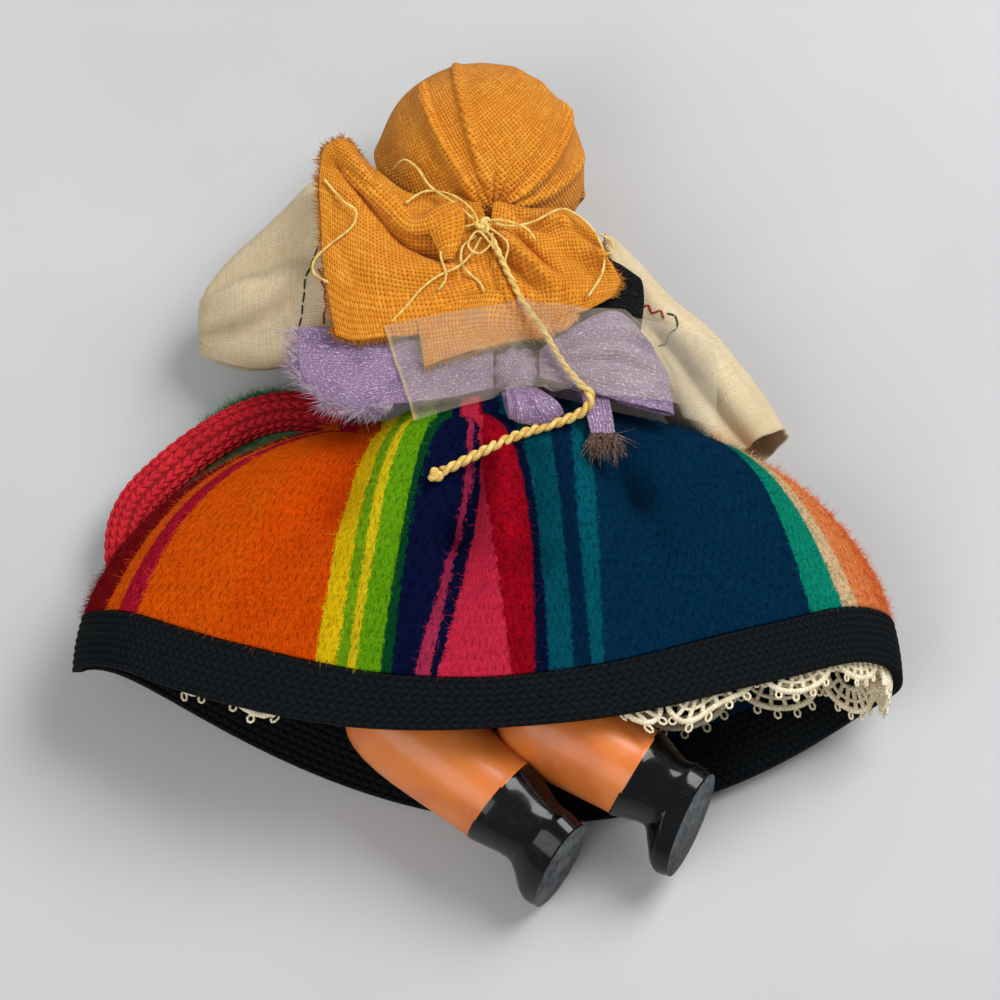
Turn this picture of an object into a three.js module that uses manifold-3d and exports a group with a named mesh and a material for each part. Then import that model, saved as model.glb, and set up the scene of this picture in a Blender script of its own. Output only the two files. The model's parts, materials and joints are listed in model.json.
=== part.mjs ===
// A dressed folk doll that lies face down: +Y is up the doll, -Z is its front, +Z is its back.
// All sizes are in millimetres. The table that it lies on is Z = 0.
import * as THREE from 'three';
import { mergeVertices } from 'three/addons/utils/BufferGeometryUtils.js';
import Module from 'manifold-3d';

const wasm = await Module();
wasm.setup();

// Driving dimensions: clearances and cloth
const seatGap = 0.35;
const bodyWall = 1.0;
const blouseCloth = 0.6;
const vestCloth = 0.8;
const petticoatCloth = 0.7;
const skirtCloth = 1.0;
const braidCloth = 1.3;
const laceCloth = 0.8;
const apronCloth = 0.6;
const apronBraidCloth = 1.1;
const scarfCloth = 0.9;
const sleeveCloth = 0.8;
const ribbonCloth = 0.6;
const waistbandCloth = 0.8;
const tapeCloth = 0.3;

// Driving dimensions: moulded body
const headWidth = 31;
const headLength = 31;
const headDepth = 31;
const headX = -3.2;
const headZ = 17.6;
const noseLength = 1.9;
const bodyZ = 15.4;
const neckRadius = 6;
const neckY = 37.5;
const headRise = 13.5;
const headY = neckY + headRise;
const shoulderHalf = 14.4;
const shoulderDeep = 8.6;
const shoulderY = 33;
const waistHalf = 11.3;
const waistDeep = 8.5;
const waistY = 6;
const hipHalf = 13.2;
const hipDeep = 9.3;
const hipY = -10;
const bodyLean = 1;
const crotchY = -23;
const elasticRadius = 1.1;
const elasticHole = 2.2;

// Driving dimensions: limbs
const armRadius = 4.6;
const wristRadius = 3;
const armHole = 6.4;
const thighRadius = 7.7;
const calfRadius = 7.9;
const bootTopRadius = 7.4;
const footLength = 19;
const footWidth = 11;
const legOut = 8.5;
const hubRadius = 3.2;
const hubInward = 6.2;
const hubOutward = 4;
const hipClearance = 1.1;

// Driving dimensions: skirt
const skirtWaistEase = 1.9;
const hemHalf = 64.5;
const hemRightHalf = 62.6;
const hemLeftSag = 5;
const hemRightSag = 3;
const hemX = -1;
const hemLow = 0.75;
const hemHigh = 26.8;
const hemBackY = -48;
const hemFrontY = -54.5;
const hemBackBow = 0.0042;
const hemFrontBow = 0.0056;
const skirtBulge = 2.2;
const foldHeight = 1.7;
const foldCount = 13;
const braidWidth = 7.6;
const petticoatShort = 14.5;
const petticoatLeftShorter = 3.5;
const laceWidth = 6.4;
const scallopDepth = 1.3;
const scallopCount = 22;

// Driving dimensions: ribbon, tape and threads
const sashBandWidth = 8;
const waistbandWidth = 3.6;
const knotDeep = 1.5;
const tapeWidth = 15;
const cordRadius = 0.8;
const cordStep = 3;
const threadRadius = 0.24;
const threadStep = 2;
const threadSides = 8;

const V = (x, y, z) => new THREE.Vector3(x, y, z);
const mix = (a, b, t) => a + (b - a) * t;

function indexed(coordinates, index) {
  const geometry = new THREE.BufferGeometry();
  geometry.setAttribute('position', new THREE.Float32BufferAttribute(coordinates, 3));
  geometry.setIndex(index);
  return geometry;
}

// Makes a geometry from points and triangles, with its faces pointing out.
function closed(points, triangles) {
  let volume = 0;
  for (const [a, b, c] of triangles) {
    volume += points[a].dot(points[b].clone().cross(points[c]));
  }
  const index = triangles.flatMap(([a, b, c]) => (volume < 0 ? [a, c, b] : [a, b, c]));
  return indexed(points.flatMap((p) => [p.x, p.y, p.z]), index);
}

// Closes a stack of rings with a flat cap at each end.
function loft(rings) {
  const sides = rings[0].length;
  const points = rings.flat();
  const triangles = [];
  for (let i = 0; i + 1 < rings.length; i += 1) {
    for (let j = 0; j < sides; j += 1) {
      const k = (j + 1) % sides;
      const a = i * sides + j;
      const b = i * sides + k;
      triangles.push([a, b, b + sides], [a, b + sides, a + sides]);
    }
  }
  const last = (rings.length - 1) * sides;
  for (let j = 1; j + 1 < sides; j += 1) {
    triangles.push([0, j + 1, j], [last, last + j, last + j + 1]);
  }
  return closed(points, triangles);
}

// Joins two equal grids of points, the faces of a cloth, into one closed solid.
function between(front, back, wrap) {
  const rows = front.length;
  const columns = front[0].length;
  const points = [...front.flat(), ...back.flat()];
  const size = rows * columns;
  const triangles = [];
  const quad = (a, b, c, d) => triangles.push([a, b, c], [a, c, d]);
  const span = wrap ? columns : columns - 1;
  for (let i = 0; i + 1 < rows; i += 1) {
    for (let j = 0; j < span; j += 1) {
      const k = (j + 1) % columns;
      const a = i * columns + j;
      const b = i * columns + k;
      quad(a, b, b + columns, a + columns);
      quad(size + a, size + a + columns, size + b + columns, size + b);
    }
  }
  for (let j = 0; j < span; j += 1) {
    const k = (j + 1) % columns;
    const low = (rows - 1) * columns;
    quad(j, size + j, size + k, k);
    quad(low + j, low + k, size + low + k, size + low + j);
  }
  for (let i = 0; i + 1 < rows && !wrap; i += 1) {
    const a = i * columns;
    const b = a + columns;
    const right = columns - 1;
    quad(a, b, size + b, size + a);
    quad(a + right, size + a + right, size + b + right, b + right);
  }
  return closed(points, triangles);
}

// Thickens a grid of points into cloth, set off to one side of the grid.
function cloth(grid, thickness, { wrap = false, offset = 0 } = {}) {
  const rows = grid.length;
  const columns = grid[0].length;
  const at = (i, j) => grid[Math.min(Math.max(i, 0), rows - 1)][
    wrap ? (j + columns) % columns : Math.min(Math.max(j, 0), columns - 1)];
  const shifted = (distance) => grid.map((row, i) => row.map((point, j) => {
    const along = at(i + 1, j).clone().sub(at(i - 1, j));
    const across = at(i, j + 1).clone().sub(at(i, j - 1));
    const normal = along.cross(across).normalize();
    return point.clone().addScaledVector(normal, distance);
  }));
  return between(shifted(offset + thickness / 2), shifted(offset - thickness / 2), wrap);
}

// Samples a few hand-set rails, each a short list of points, into an even grid.
function railGrid(rails, rows, columns) {
  const curves = rails.map((rail) => new THREE.CatmullRomCurve3(rail, false, 'centripetal'));
  const grid = [];
  for (let j = 0; j < columns; j += 1) {
    const stops = curves.map((curve) => curve.getPoint(j / (columns - 1)));
    const cross = new THREE.CatmullRomCurve3(stops, false, 'centripetal');
    for (let i = 0; i < rows; i += 1) {
      grid[i] = grid[i] ?? [];
      grid[i].push(cross.getPoint(i / (rows - 1)));
    }
  }
  return grid;
}

// A ring of points round a centre, spanned by two half axes.
function ring(centre, side, up, sides, squareness = 1) {
  return Array.from({ length: sides }, (_, j) => {
    const angle = (2 * Math.PI * j) / sides;
    const c = Math.cos(angle);
    const s = Math.sin(angle);
    return centre.clone()
      .addScaledVector(side, Math.sign(c) * Math.abs(c) ** squareness)
      .addScaledVector(up, Math.sign(s) * Math.abs(s) ** squareness);
  });
}

// A closed tube along a route, with a ring of points at each step of its length.
function tube(route, radius, sides, stepLength) {
  const path = new THREE.CatmullRomCurve3(route, false, 'centripetal');
  const steps = Math.ceil(path.getLength() / stepLength);
  const section = new THREE.Shape(ring(V(0, 0, 0), V(radius, 0, 0), V(0, radius, 0), sides));
  const options = { steps, extrudePath: path, bevelEnabled: false, curveSegments: 1 };
  return new THREE.ExtrudeGeometry(section, options);
}

// Solids for joining and cutting
function solid(geometry) {
  const plain = geometry.clone();
  plain.deleteAttribute('normal');
  plain.deleteAttribute('uv');
  const merged = mergeVertices(plain, 1e-4);
  return new wasm.Manifold(new wasm.Mesh({
    numProp: 3,
    vertProperties: Float32Array.from(merged.attributes.position.array),
    triVerts: Uint32Array.from(merged.index.array),
  }));
}

function geometryOf(manifold) {
  const mesh = manifold.getMesh();
  return indexed(Float32Array.from(mesh.vertProperties), Array.from(mesh.triVerts));
}

function block(low, high) {
  const size = high.clone().sub(low);
  const geometry = new THREE.BoxGeometry(size.x, size.y, size.z);
  geometry.translate(...low.clone().add(high).multiplyScalar(0.5).toArray());
  return solid(geometry);
}

function ellipsoid(centre, half, across = 24, down = 14) {
  const geometry = new THREE.SphereGeometry(1, across, down);
  geometry.rotateX(Math.PI / 2);
  geometry.scale(half.x, half.y, half.z);
  geometry.translate(centre.x, centre.y, centre.z);
  return solid(geometry);
}

function cylinderX(centre, radius, length, sides = 20) {
  const geometry = new THREE.CylinderGeometry(radius, radius, length, sides);
  geometry.rotateZ(Math.PI / 2);
  geometry.translate(centre.x, centre.y, centre.z);
  return solid(geometry);
}

const far = 200;
const aboveTable = block(V(-far, -far, 0), V(far, far, far));

// The pieces, in the order that they are made
const pieces = new Map();

function piece(name, shape, colour, roughness, metalness = 0) {
  const geometry = shape instanceof THREE.BufferGeometry ? shape : geometryOf(shape);
  const material = new THREE.MeshStandardMaterial({ color: colour, roughness, metalness });
  const mesh = new THREE.Mesh(geometry, material);
  mesh.name = name;
  pieces.set(name, mesh);
  return mesh;
}

// Height of the highest of the named pieces over a spot and its near neighbourhood.
const looker = new THREE.Raycaster();
function topOver(names, x, y, reach = 1.3) {
  let top = 0;
  const under = names.map((name) => pieces.get(name));
  const around = [-1, -0.5, 0, 0.5, 1].map((step) => step * reach);
  for (const dx of around) {
    for (const dy of around) {
      looker.set(V(x + dx, y + dy, far), V(0, 0, -1));
      for (const hit of looker.intersectObjects(under, false)) {
        top = Math.max(top, hit.point.z);
      }
    }
  }
  return top;
}

// Lifts a grid so that cloth of this thickness clears the named pieces.
function laidOver(grid, names, thickness, reach) {
  const clear = seatGap + thickness / 2;
  const lifted = (p) => V(p.x, p.y, Math.max(p.z, topOver(names, p.x, p.y, reach) + clear));
  return grid.map((row) => row.map(lifted));
}

// Moulded body: rings up the torso, each with its half width and half depth
function torsoRings(grow, sides) {
  const outline = [
    [crotchY, 2.5, 2.2], [crotchY + 1.5, 6.5, 5.5], [crotchY + 6, 11.4, 8.2], [hipY, hipHalf, hipDeep],
    [mix(hipY, waistY, 0.5), mix(hipHalf, waistHalf, 0.55), mix(hipDeep, waistDeep, 0.5)],
    [waistY, waistHalf, waistDeep], [mix(waistY, shoulderY, 0.35), waistHalf + 0.9, waistDeep + 0.3],
    [mix(waistY, shoulderY, 0.75), shoulderHalf - 1, shoulderDeep], [shoulderY, shoulderHalf, shoulderDeep],
    [shoulderY + 2, shoulderHalf - 2, shoulderDeep - 1.2], [neckY, neckRadius + 1.5, neckRadius],
    [neckY + 2.5, neckRadius, neckRadius - 0.6],
  ];
  return outline.map(([y, halfWidth, halfDepth], i) => {
    const end = i === 0 ? -grow : 0;
    const lean = bodyLean * THREE.MathUtils.clamp((shoulderY - y) / (shoulderY - waistY), 0, 1);
    const side = V(Math.max(halfWidth + grow, 0.8), 0, 0);
    const up = V(0, 0, Math.max(halfDepth + grow, 0.8));
    return ring(V(lean, y + end, bodyZ), side, up, sides);
  });
}

// The body's half sizes at a height, read from the same outline
function bodyHalf(y) {
  const rings = torsoRings(0, 4);
  for (let i = 0; i + 1 < rings.length; i += 1) {
    const low = rings[i];
    const high = rings[i + 1];
    if (y <= high[0].y || i + 2 === rings.length) {
      const t = (y - low[0].y) / (high[0].y - low[0].y);
      return {
        x: mix((low[0].x + low[2].x) / 2, (high[0].x + high[2].x) / 2, t),
        wide: mix(low[0].x - low[2].x, high[0].x - high[2].x, t) / 2,
        deep: mix(low[1].z - low[3].z, high[1].z - high[3].z, t) / 2,
      };
    }
  }
  return null;
}

const headCentre = V(headX, headY, headZ);
const headHalf = V(headWidth / 2, headLength / 2, headDepth / 2);
const grown = (half, by) => V(half.x + by, half.y + by, half.z + by);
const leftShoulder = V(-shoulderHalf, shoulderY, bodyZ);
const rightShoulder = V(shoulderHalf, shoulderY, bodyZ);
const hipJoint = (side) => V(bodyLean + side * legOut, crotchY + 7, bodyZ - 1);

const legs = {
  left_leg: {
    hip: hipJoint(-1),
    knee: V(-16, -42, 13.4),
    bootTop: V(0, -57, 13),
    soleMiddle: V(9.5, -64.5, 11.7),
  },
  right_leg: {
    hip: hipJoint(1),
    knee: V(10, -43, 14.6),
    bootTop: V(20, -52.5, 14.3),
    soleMiddle: V(31.5, -58.5, 12.6),
  },
};
const torsoSides = 20;
const headAcross = 22;
const headDown = 11;

// A limb: rings along a route, each with its place, its run and two half sizes
function limb(stations, sides = 16) {
  const toFront = V(0, 0, -1);
  return stations.map(([centre, run, forward, across]) => {
    const direction = run.clone().normalize();
    const up = toFront.clone().addScaledVector(direction, -toFront.dot(direction)).normalize();
    const side = direction.clone().cross(up).normalize();
    return ring(centre, side.multiplyScalar(across), up.multiplyScalar(forward), sides);
  });
}

function mix3(a, b, t) {
  return a.clone().lerp(b, t);
}

// A leg: thigh, bent knee and a boot whose last ring is the flat sole, all grown by a clearance
function legShape({ hip, knee, bootTop, soleMiddle }, grow = 0) {
  const thigh = knee.clone().sub(hip);
  const shin = bootTop.clone().sub(knee);
  const boot = soleMiddle.clone().sub(bootTop);
  const down = boot.clone().normalize();
  const toe = V(0, 0, -1).addScaledVector(down, down.z).normalize();
  const bend = thigh.clone().normalize().add(shin.clone().normalize());
  const ankle = bootTop.clone().addScaledVector(boot, 0.45);
  const welt = soleMiddle.clone().addScaledVector(down, -2.6);
  const rings = limb([
    [hip.clone().addScaledVector(thigh, 0.02).addScaledVector(thigh.clone().normalize(), -grow), thigh,
      thighRadius - 2.4, thighRadius - 3],
    [hip.clone().addScaledVector(thigh, 0.2), thigh, thighRadius - 0.6, thighRadius - 0.9],
    [hip.clone().addScaledVector(thigh, 0.55), thigh, thighRadius, thighRadius],
    [knee.clone().addScaledVector(thigh, -0.12), thigh, calfRadius, calfRadius],
    [knee.clone().addScaledVector(shin, 0.06), bend, calfRadius, calfRadius + 0.6],
    [knee.clone().addScaledVector(shin, 0.5), shin, calfRadius, calfRadius],
    [bootTop, shin, bootTopRadius, bootTopRadius],
    [bootTop.clone().addScaledVector(down, 0.9), boot, bootTopRadius, bootTopRadius],
    [ankle, boot, bootTopRadius - 0.5, bootTopRadius - 0.9],
    [mix3(ankle, welt, 0.6).addScaledVector(toe, 1.4), boot, footLength / 2 - 1.4, footWidth / 2 - 0.2],
    [welt.clone().addScaledVector(toe, 2), boot, footLength / 2, footWidth / 2 + 0.2],
    [soleMiddle.clone().addScaledVector(toe, 2), boot, footLength / 2 - 0.3, footWidth / 2],
  ].map(([centre, run, forward, across]) => [centre, run, forward + grow, across + grow]), 16);
  return loft(rings);
}

// The round hub across a leg's top, about the axis that the leg swings on
function hipHub(hip, grow = 0) {
  const inward = Math.sign(bodyLean - hip.x);
  const middle = V(hip.x + (inward * (hubInward - hubOutward)) / 2, hip.y, hip.z);
  return cylinderX(middle, hubRadius + grow, hubInward + hubOutward + grow * 2, 16);
}

// Two half shells of one moulding, hollow above the hips, with sockets for the legs
function makeBody() {
  const nose = ellipsoid(V(headX, headY - 2, headZ - headHalf.z), V(2, 2.6, noseLength), 10, 8);
  const head = ellipsoid(headCentre, headHalf, headAcross, headDown);
  const outer = solid(loft(torsoRings(0, torsoSides))).add(head).add(nose);
  const inner = solid(loft(torsoRings(-bodyWall, 12)))
    .add(ellipsoid(headCentre, grown(headHalf, -bodyWall), 14, 8));
  const armBore = cylinderX(V(0, shoulderY, bodyZ), elasticHole, far, 10);
  const hip = hipJoint(1);
  const legBore = cylinderX(V(0, hip.y, hip.z), elasticHole, far, 10);
  const sockets = Object.values(legs)
    .map((leg) => solid(legShape(leg, hipClearance)).add(hipHub(leg.hip, seatGap)));
  const aboveHips = block(V(-far, hipY, -far), V(far, far, far));
  const seated = sockets.reduce((left, socket) => left.subtract(socket), outer);
  const shell = seated.subtract(inner.intersect(aboveHips)).subtract(armBore).subtract(legBore);
  const front = block(V(-far, -far, -far), V(far, far, bodyZ - seatGap / 2));
  const back = block(V(-far, -far, bodyZ + seatGap / 2), V(far, far, far));
  piece('body_front_shell', shell.intersect(front), 0xe9b48c, 0.35);
  piece('body_back_shell', shell.intersect(back), 0xe9b48c, 0.35);
}

makeBody();
for (const [name, leg] of Object.entries(legs)) {
  piece(name, solid(legShape(leg)).add(hipHub(leg.hip)), 0xe0a07a, 0.3);
}

function makeArm(name, shoulder, elbow, hand) {
  const out = V(Math.sign(shoulder.x), 0, 0);
  const upper = elbow.clone().sub(shoulder);
  const fore = hand.clone().sub(elbow);
  const start = shoulder.clone().addScaledVector(out, seatGap);
  const rings = limb([
    [start, out, armRadius, armRadius],
    [start.clone().addScaledVector(out, 2.5), out, armRadius + 0.4, armRadius + 0.4],
    [shoulder.clone().addScaledVector(upper, 0.6), upper, armRadius, armRadius],
    [elbow, upper.clone().normalize().add(fore.clone().normalize()), armRadius - 0.6, armRadius - 0.5],
    [elbow.clone().addScaledVector(fore, 0.5), fore, wristRadius + 0.5, wristRadius + 0.6],
    [elbow.clone().addScaledVector(fore, 0.75), fore, wristRadius - 0.6, wristRadius - 0.4],
    [elbow.clone().addScaledVector(fore, 0.92), fore, wristRadius - 1, wristRadius],
    [hand, fore, 0.8, 1.4],
  ], 12);
  piece(name, loft(rings), 0xe9b48c, 0.35);
}
makeArm('left_arm', leftShoulder, V(-30, 31.5, 12.5), V(-44.5, 27, 8.5));
makeArm('right_arm', rightShoulder, V(24.5, 23, 13.5), V(39.5, 8, 10.5));

// Rubber cords that string the limbs, each ending short of the limb's inner face
function makeElastics() {
  const span = 2 * (shoulderHalf - seatGap);
  piece('arm_elastic', cylinderX(V(0, shoulderY, bodyZ), elasticRadius, span, 10), 0x6d6a60, 0.8);
  const middle = mix3(hipJoint(-1), hipJoint(1), 0.5);
  const rubber = Object.values(legs).reduce((left, leg) => left.subtract(hipHub(leg.hip, seatGap)),
    cylinderX(middle, elasticRadius, legOut, 10));
  piece('leg_elastic', rubber, 0x6d6a60, 0.8);
}
makeElastics();

// Clothes that wrap the torso, as a closed band of cloth between two heights
function wrapGrid(low, high, ease) {
  const between = torsoRings(0, 4).map((points) => points[0].y).filter((y) => y > low + 0.3 && y < high - 0.3);
  return [high, ...between.reverse(), low].map((y) => {
    const half = bodyHalf(y);
    return ring(V(half.x, y, bodyZ), V(half.wide + ease, 0, 0), V(0, 0, half.deep + ease), torsoSides);
  });
}

const blouseEase = seatGap + blouseCloth / 2;
const vestEase = seatGap * 2 + blouseCloth + vestCloth / 2;
const outerEase = vestEase + vestCloth / 2 + seatGap;
const armHoles = cylinderX(leftShoulder, armHole, 14).add(cylinderX(rightShoulder, armHole, 14));

piece('blouse', solid(cloth(wrapGrid(waistY - 4, shoulderY + 1, blouseEase), blouseCloth, { wrap: true }))
  .subtract(armHoles), 0xe8dcc2, 0.9);
piece('vest', solid(cloth(wrapGrid(waistY + 5, shoulderY + 0.6, vestEase), vestCloth, { wrap: true }))
  .subtract(armHoles), 0x17161a, 0.95);

// Full sleeves: rings from the armhole to the cuff, each with centre, run and half sizes
function makeSleeve(name, stations) {
  const grid = limb(stations, 20);
  piece(name, solid(cloth(grid, sleeveCloth, { wrap: true })).intersect(aboveTable), 0xeadfc6, 0.92);
}
const outLeft = V(-1, 0, 0);
const sleeveStart = shoulderHalf + outerEase;
makeSleeve('left_sleeve', [
  [V(-sleeveStart, shoulderY, bodyZ), outLeft, 7.4, 7.4],
  [V(-sleeveStart - 2, shoulderY, bodyZ), outLeft, 9.2, 9.4],
  [V(-sleeveStart - 5.5, shoulderY, bodyZ), outLeft, 10.8, 11.8],
  [V(-sleeveStart - 9.5, shoulderY + 0.4, bodyZ - 0.6), outLeft, 11.2, 14],
  [V(-sleeveStart - 13, shoulderY + 0.8, bodyZ - 1.2), outLeft, 11.4, 15.6],
  [V(-sleeveStart - 16.5, shoulderY - 0.8, bodyZ - 2), outLeft, 11, 14.6],
  [V(-sleeveStart - 21, shoulderY - 3.4, bodyZ - 3), outLeft, 10, 12.2],
  [V(-sleeveStart - 25.5, shoulderY - 5, bodyZ - 4.4), outLeft, 8.4, 9.6],
  [V(-sleeveStart - 29.5, shoulderY - 6, bodyZ - 6), outLeft, 6, 6.4],
  [V(-sleeveStart - 31.5, shoulderY - 6.2, bodyZ - 7), outLeft, 3.8, 4],
]);
makeSleeve('right_sleeve', [
  [V(sleeveStart, shoulderY, bodyZ), V(1, 0, 0), 7, 6.8],
  [V(sleeveStart + 1.4, shoulderY - 2.3, bodyZ), V(1, -0.3, 0), 8.6, 6.9],
  [V(23.5, 23.4, 14.6), V(0.72, -0.66, 0), 8.8, 6.9],
  [V(28.7, 18.3, 13.6), V(0.7, -0.7, 0), 8.8, 7.3],
  [V(33.5, 13.2, 12.2), V(0.68, -0.72, 0), 8.2, 7.1],
  [V(38.2, 8.2, 11), V(0.6, -0.8, 0), 7.2, 6.3],
  [V(41.5, 4.6, 10), V(0.5, -0.86, 0), 5.4, 5],
]);

// Main folds down the skirt's back: where each starts and ends in the plan, its half width and its height
const skirtFolds = [
  [V(-19, 2, 0), V(-26.3, -10.6, 0), 4.4, -2.3],
  [V(-26.3, -10.6, 0), V(-33.3, -19, 0), 4.6, -1.7],
  [V(-15.5, 1, 0), V(-21.5, -19, 0), 3.6, 1.3],
  [V(-2.7, -6.5, 0), V(-6.9, -17, 0), 3.2, -2.6],
  [V(-6.9, -17, 0), V(-9.9, -30, 0), 3.2, -1.9],
  [V(-1.2, -2.5, 0), V(1.6, -20, 0), 3.4, 1.7],
  [V(4.6, -4.5, 0), V(5.4, -22, 0), 3, -1.5],
  [V(17, -3.5, 0), V(21, -10, 0), 3.2, -2.4],
  [V(21, -10, 0), V(25, -20, 0), 3.6, -1.4],
  [V(11, -4, 0), V(13.5, -20, 0), 3.6, 1.1],
];
function skirtFoldLift(x, y) {
  return skirtFolds.reduce((total, [from, to, width, height]) => {
    const run = to.clone().sub(from);
    const at = V(x, y, 0).sub(from);
    const along = Math.min(1, Math.max(0, at.dot(run) / run.lengthSq()));
    const aside = at.addScaledVector(run, -along).length() / width;
    return total + height * Math.exp(-(aside ** 2));
  }, 0);
}

// Skirt: a flattened bell; turn 0 is the right side, a quarter turn the back, and drop runs from waist to hem
const waistCentre = V(bodyLean, waistY, bodyZ);
const skirtEase = outerEase + skirtWaistEase;
function hemPoint(turn) {
  const side = Math.cos(turn);
  const x = hemX + (side < 0 ? hemHalf : hemRightHalf) * side;
  const sag = (side < 0 ? hemLeftSag : hemRightSag) * Math.exp((Math.abs(side) - 1) / 0.06);
  const toBack = (1 + Math.sin(turn)) / 2;
  const backY = hemBackY + hemBackBow * (x - hemX + 7) ** 2;
  const frontY = hemFrontY + hemFrontBow * (x - hemX - 9) ** 2;
  const z = mix(hemLow, hemHigh, (1 + Math.sign(Math.sin(turn)) * Math.abs(Math.sin(turn)) ** 0.85) / 2);
  return V(x, mix(frontY, backY, toBack) - sag, z);
}
function skirtPoint(turn, drop) {
  const hem = hemPoint(turn);
  const waist = V(
    waistCentre.x + (waistHalf + skirtEase) * Math.cos(turn),
    waistCentre.y,
    waistCentre.z + (waistDeep + skirtEase) * Math.sin(turn),
  );
  const sideways = Math.abs(Math.cos(turn)) ** 1.4;
  const spread = mix(drop, Math.sin((drop * Math.PI) / 2), sideways);
  const fall = mix(drop, 1 - Math.cos((drop * Math.PI) / 2), sideways);
  const back = Math.max(Math.sin(turn), 0);
  const front = Math.max(-Math.sin(turn), 0);
  const bulge = skirtBulge * Math.sin(drop * Math.PI) * back;
  const fold = foldHeight * Math.sin(Math.min(drop, 1) * Math.PI * 0.75) * back ** 0.6
    * Math.cos(foldCount * (turn - Math.PI / 2) + 1.8 * Math.sin(2 * turn));
  const x = mix(waist.x, hem.x, spread);
  const y = mix(waist.y, hem.y, fall);
  const z = mix(waist.z, hem.z, mix(drop, drop ** 3, front));
  const { smoothstep } = THREE.MathUtils;
  const lift = skirtFoldLift(x, y) * smoothstep(back, 0.1, 0.5) * (1 - smoothstep(drop, 0.55, 0.86));
  return V(x, y, z + bulge + fold * 0.5 + lift);
}
// Length down the back of the skirt, which turns widths along the cloth into shares of the drop
const skirtLength = waistY - hemBackY;
const share = (length) => length / skirtLength;

function skirtGrid(from, to, rows, columns) {
  return Array.from({ length: rows }, (_, i) => Array.from({ length: columns }, (__, j) => {
    const turn = (2 * Math.PI * j) / columns;
    return skirtPoint(turn, mix(from(turn), to(turn), i / (rows - 1)));
  }));
}
const skirtColumns = 3 * scallopCount;
const waistLine = () => 0;
const hemLine = () => 1;
const braidTop = () => 1 - share(braidWidth);
const skirtEnd = () => braidTop() - share(seatGap);

const skirtSheet = skirtGrid(waistLine, skirtEnd, 8, skirtColumns);
piece('skirt', cloth(skirtSheet, skirtCloth, { wrap: true }), 0xd0592c, 0.95);
const braidSheet = skirtGrid(braidTop, hemLine, 3, skirtColumns);
piece('hem_braid', cloth(braidSheet, braidCloth, { wrap: true }), 0x17161b, 0.9);

// The petticoat hangs inside the skirt, shorter on the left, with the lace along its lower edge
const liningGap = seatGap + 0.2;
const petticoatOffset = skirtCloth / 2 + liningGap + petticoatCloth / 2;
const laceTop = (turn) => 1 - share(petticoatShort)
  - share(petticoatLeftShorter) * THREE.MathUtils.smoothstep(-Math.cos(turn), -0.2, 0.5);
const petticoatEnd = (turn) => laceTop(turn) - share(liningGap);
const laceEnd = (turn) => laceTop(turn) + share(laceWidth)
  + share(scallopDepth) * Math.abs(Math.sin((turn * scallopCount) / 2));
piece('petticoat', cloth(skirtGrid(waistLine, petticoatEnd, 8, skirtColumns), petticoatCloth,
  { wrap: true, offset: petticoatOffset }), 0xd9b79d, 0.95);
piece('lace_edging', cloth(skirtGrid(laceTop, laceEnd, 3, skirtColumns), laceCloth,
  { wrap: true, offset: petticoatOffset }), 0xe9ddc4, 0.95);

// Apron: wool cloth between the table and the skirt, whose left edge turns up beyond the skirt
const apronOuter = [
  V(-29, 15.6, 3.6), V(-36, 16.6, 4.8), V(-42, 14.6, 5.4), V(-49, 10.2, 5.7), V(-56, 4.2, 5.8),
  V(-61, -1.8, 5.6), V(-63, -8, 5.2), V(-62.5, -16, 4), V(-59, -24, 2.4),
];
const apronInner = [
  V(-21, 9.6, 1.4), V(-31, 10.6, 2.6), V(-38.5, 9, 3.4), V(-45, 5.2, 4), V(-51, 0, 4.2),
  V(-55.5, -5, 3.8), V(-57, -11, 3), V(-55.5, -19, 1.6), V(-52, -27, 0.5),
];
const apronFlat = apronCloth / 2 + 0.05;
const apronMiddle = [
  V(-14, 5, apronFlat), V(-22, 1, apronFlat), V(-30, -5, apronFlat), V(-36, -13, apronFlat),
  V(-38, -22, apronFlat), V(-37, -31, apronFlat),
];
const apronRight = [
  V(12, 5, apronFlat), V(15, -4, apronFlat), V(18, -13, apronFlat), V(20, -22, apronFlat),
  V(21, -31, apronFlat),
];
piece('apron', solid(cloth(railGrid([apronOuter, apronInner, apronMiddle, apronRight], 10, 12), apronCloth))
  .intersect(aboveTable), 0x2f5b3c, 0.95);
const braidInset = 0.16;
const braidInsetFar = 0.98;
const apronEdge = railGrid([apronOuter, apronInner], 2, 26);
const apronBraidGrid = [braidInset, (braidInset + braidInsetFar) / 2, braidInsetFar].map((t) => (
  apronEdge[0].map((point, j) => mix3(point, apronEdge[1][j], t))));
piece('apron_braid', cloth(laidOver(apronBraidGrid, ['apron'], apronBraidCloth, 0.4), apronBraidCloth),
  0xb3282d, 0.9);

// Sash: a ribbon round the waist, tied at the back in one flat loop with two tails
const bandEase = outerEase + ribbonCloth / 2;
const bandLow = waistY + 0.6;
const waistbandEase = seatGap * 2 + blouseCloth + waistbandCloth / 2;
const waistbandGrid = wrapGrid(bandLow, bandLow + waistbandWidth, waistbandEase);
piece('skirt_waistband', cloth(waistbandGrid, waistbandCloth, { wrap: true }), 0x3a2a24, 0.9);
piece('sash_band', cloth(wrapGrid(bandLow, bandLow + sashBandWidth, bandEase), ribbonCloth, { wrap: true }),
  0xa893c8, 0.45);
const knotCentre = V(2.6, bandLow + 3.4, bodyZ + waistDeep + bandEase + ribbonCloth / 2 + seatGap + knotDeep);
piece('sash_knot', ellipsoid(knotCentre, V(3.3, 3.6, knotDeep), 14, 10), 0xa08abf, 0.45);

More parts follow.
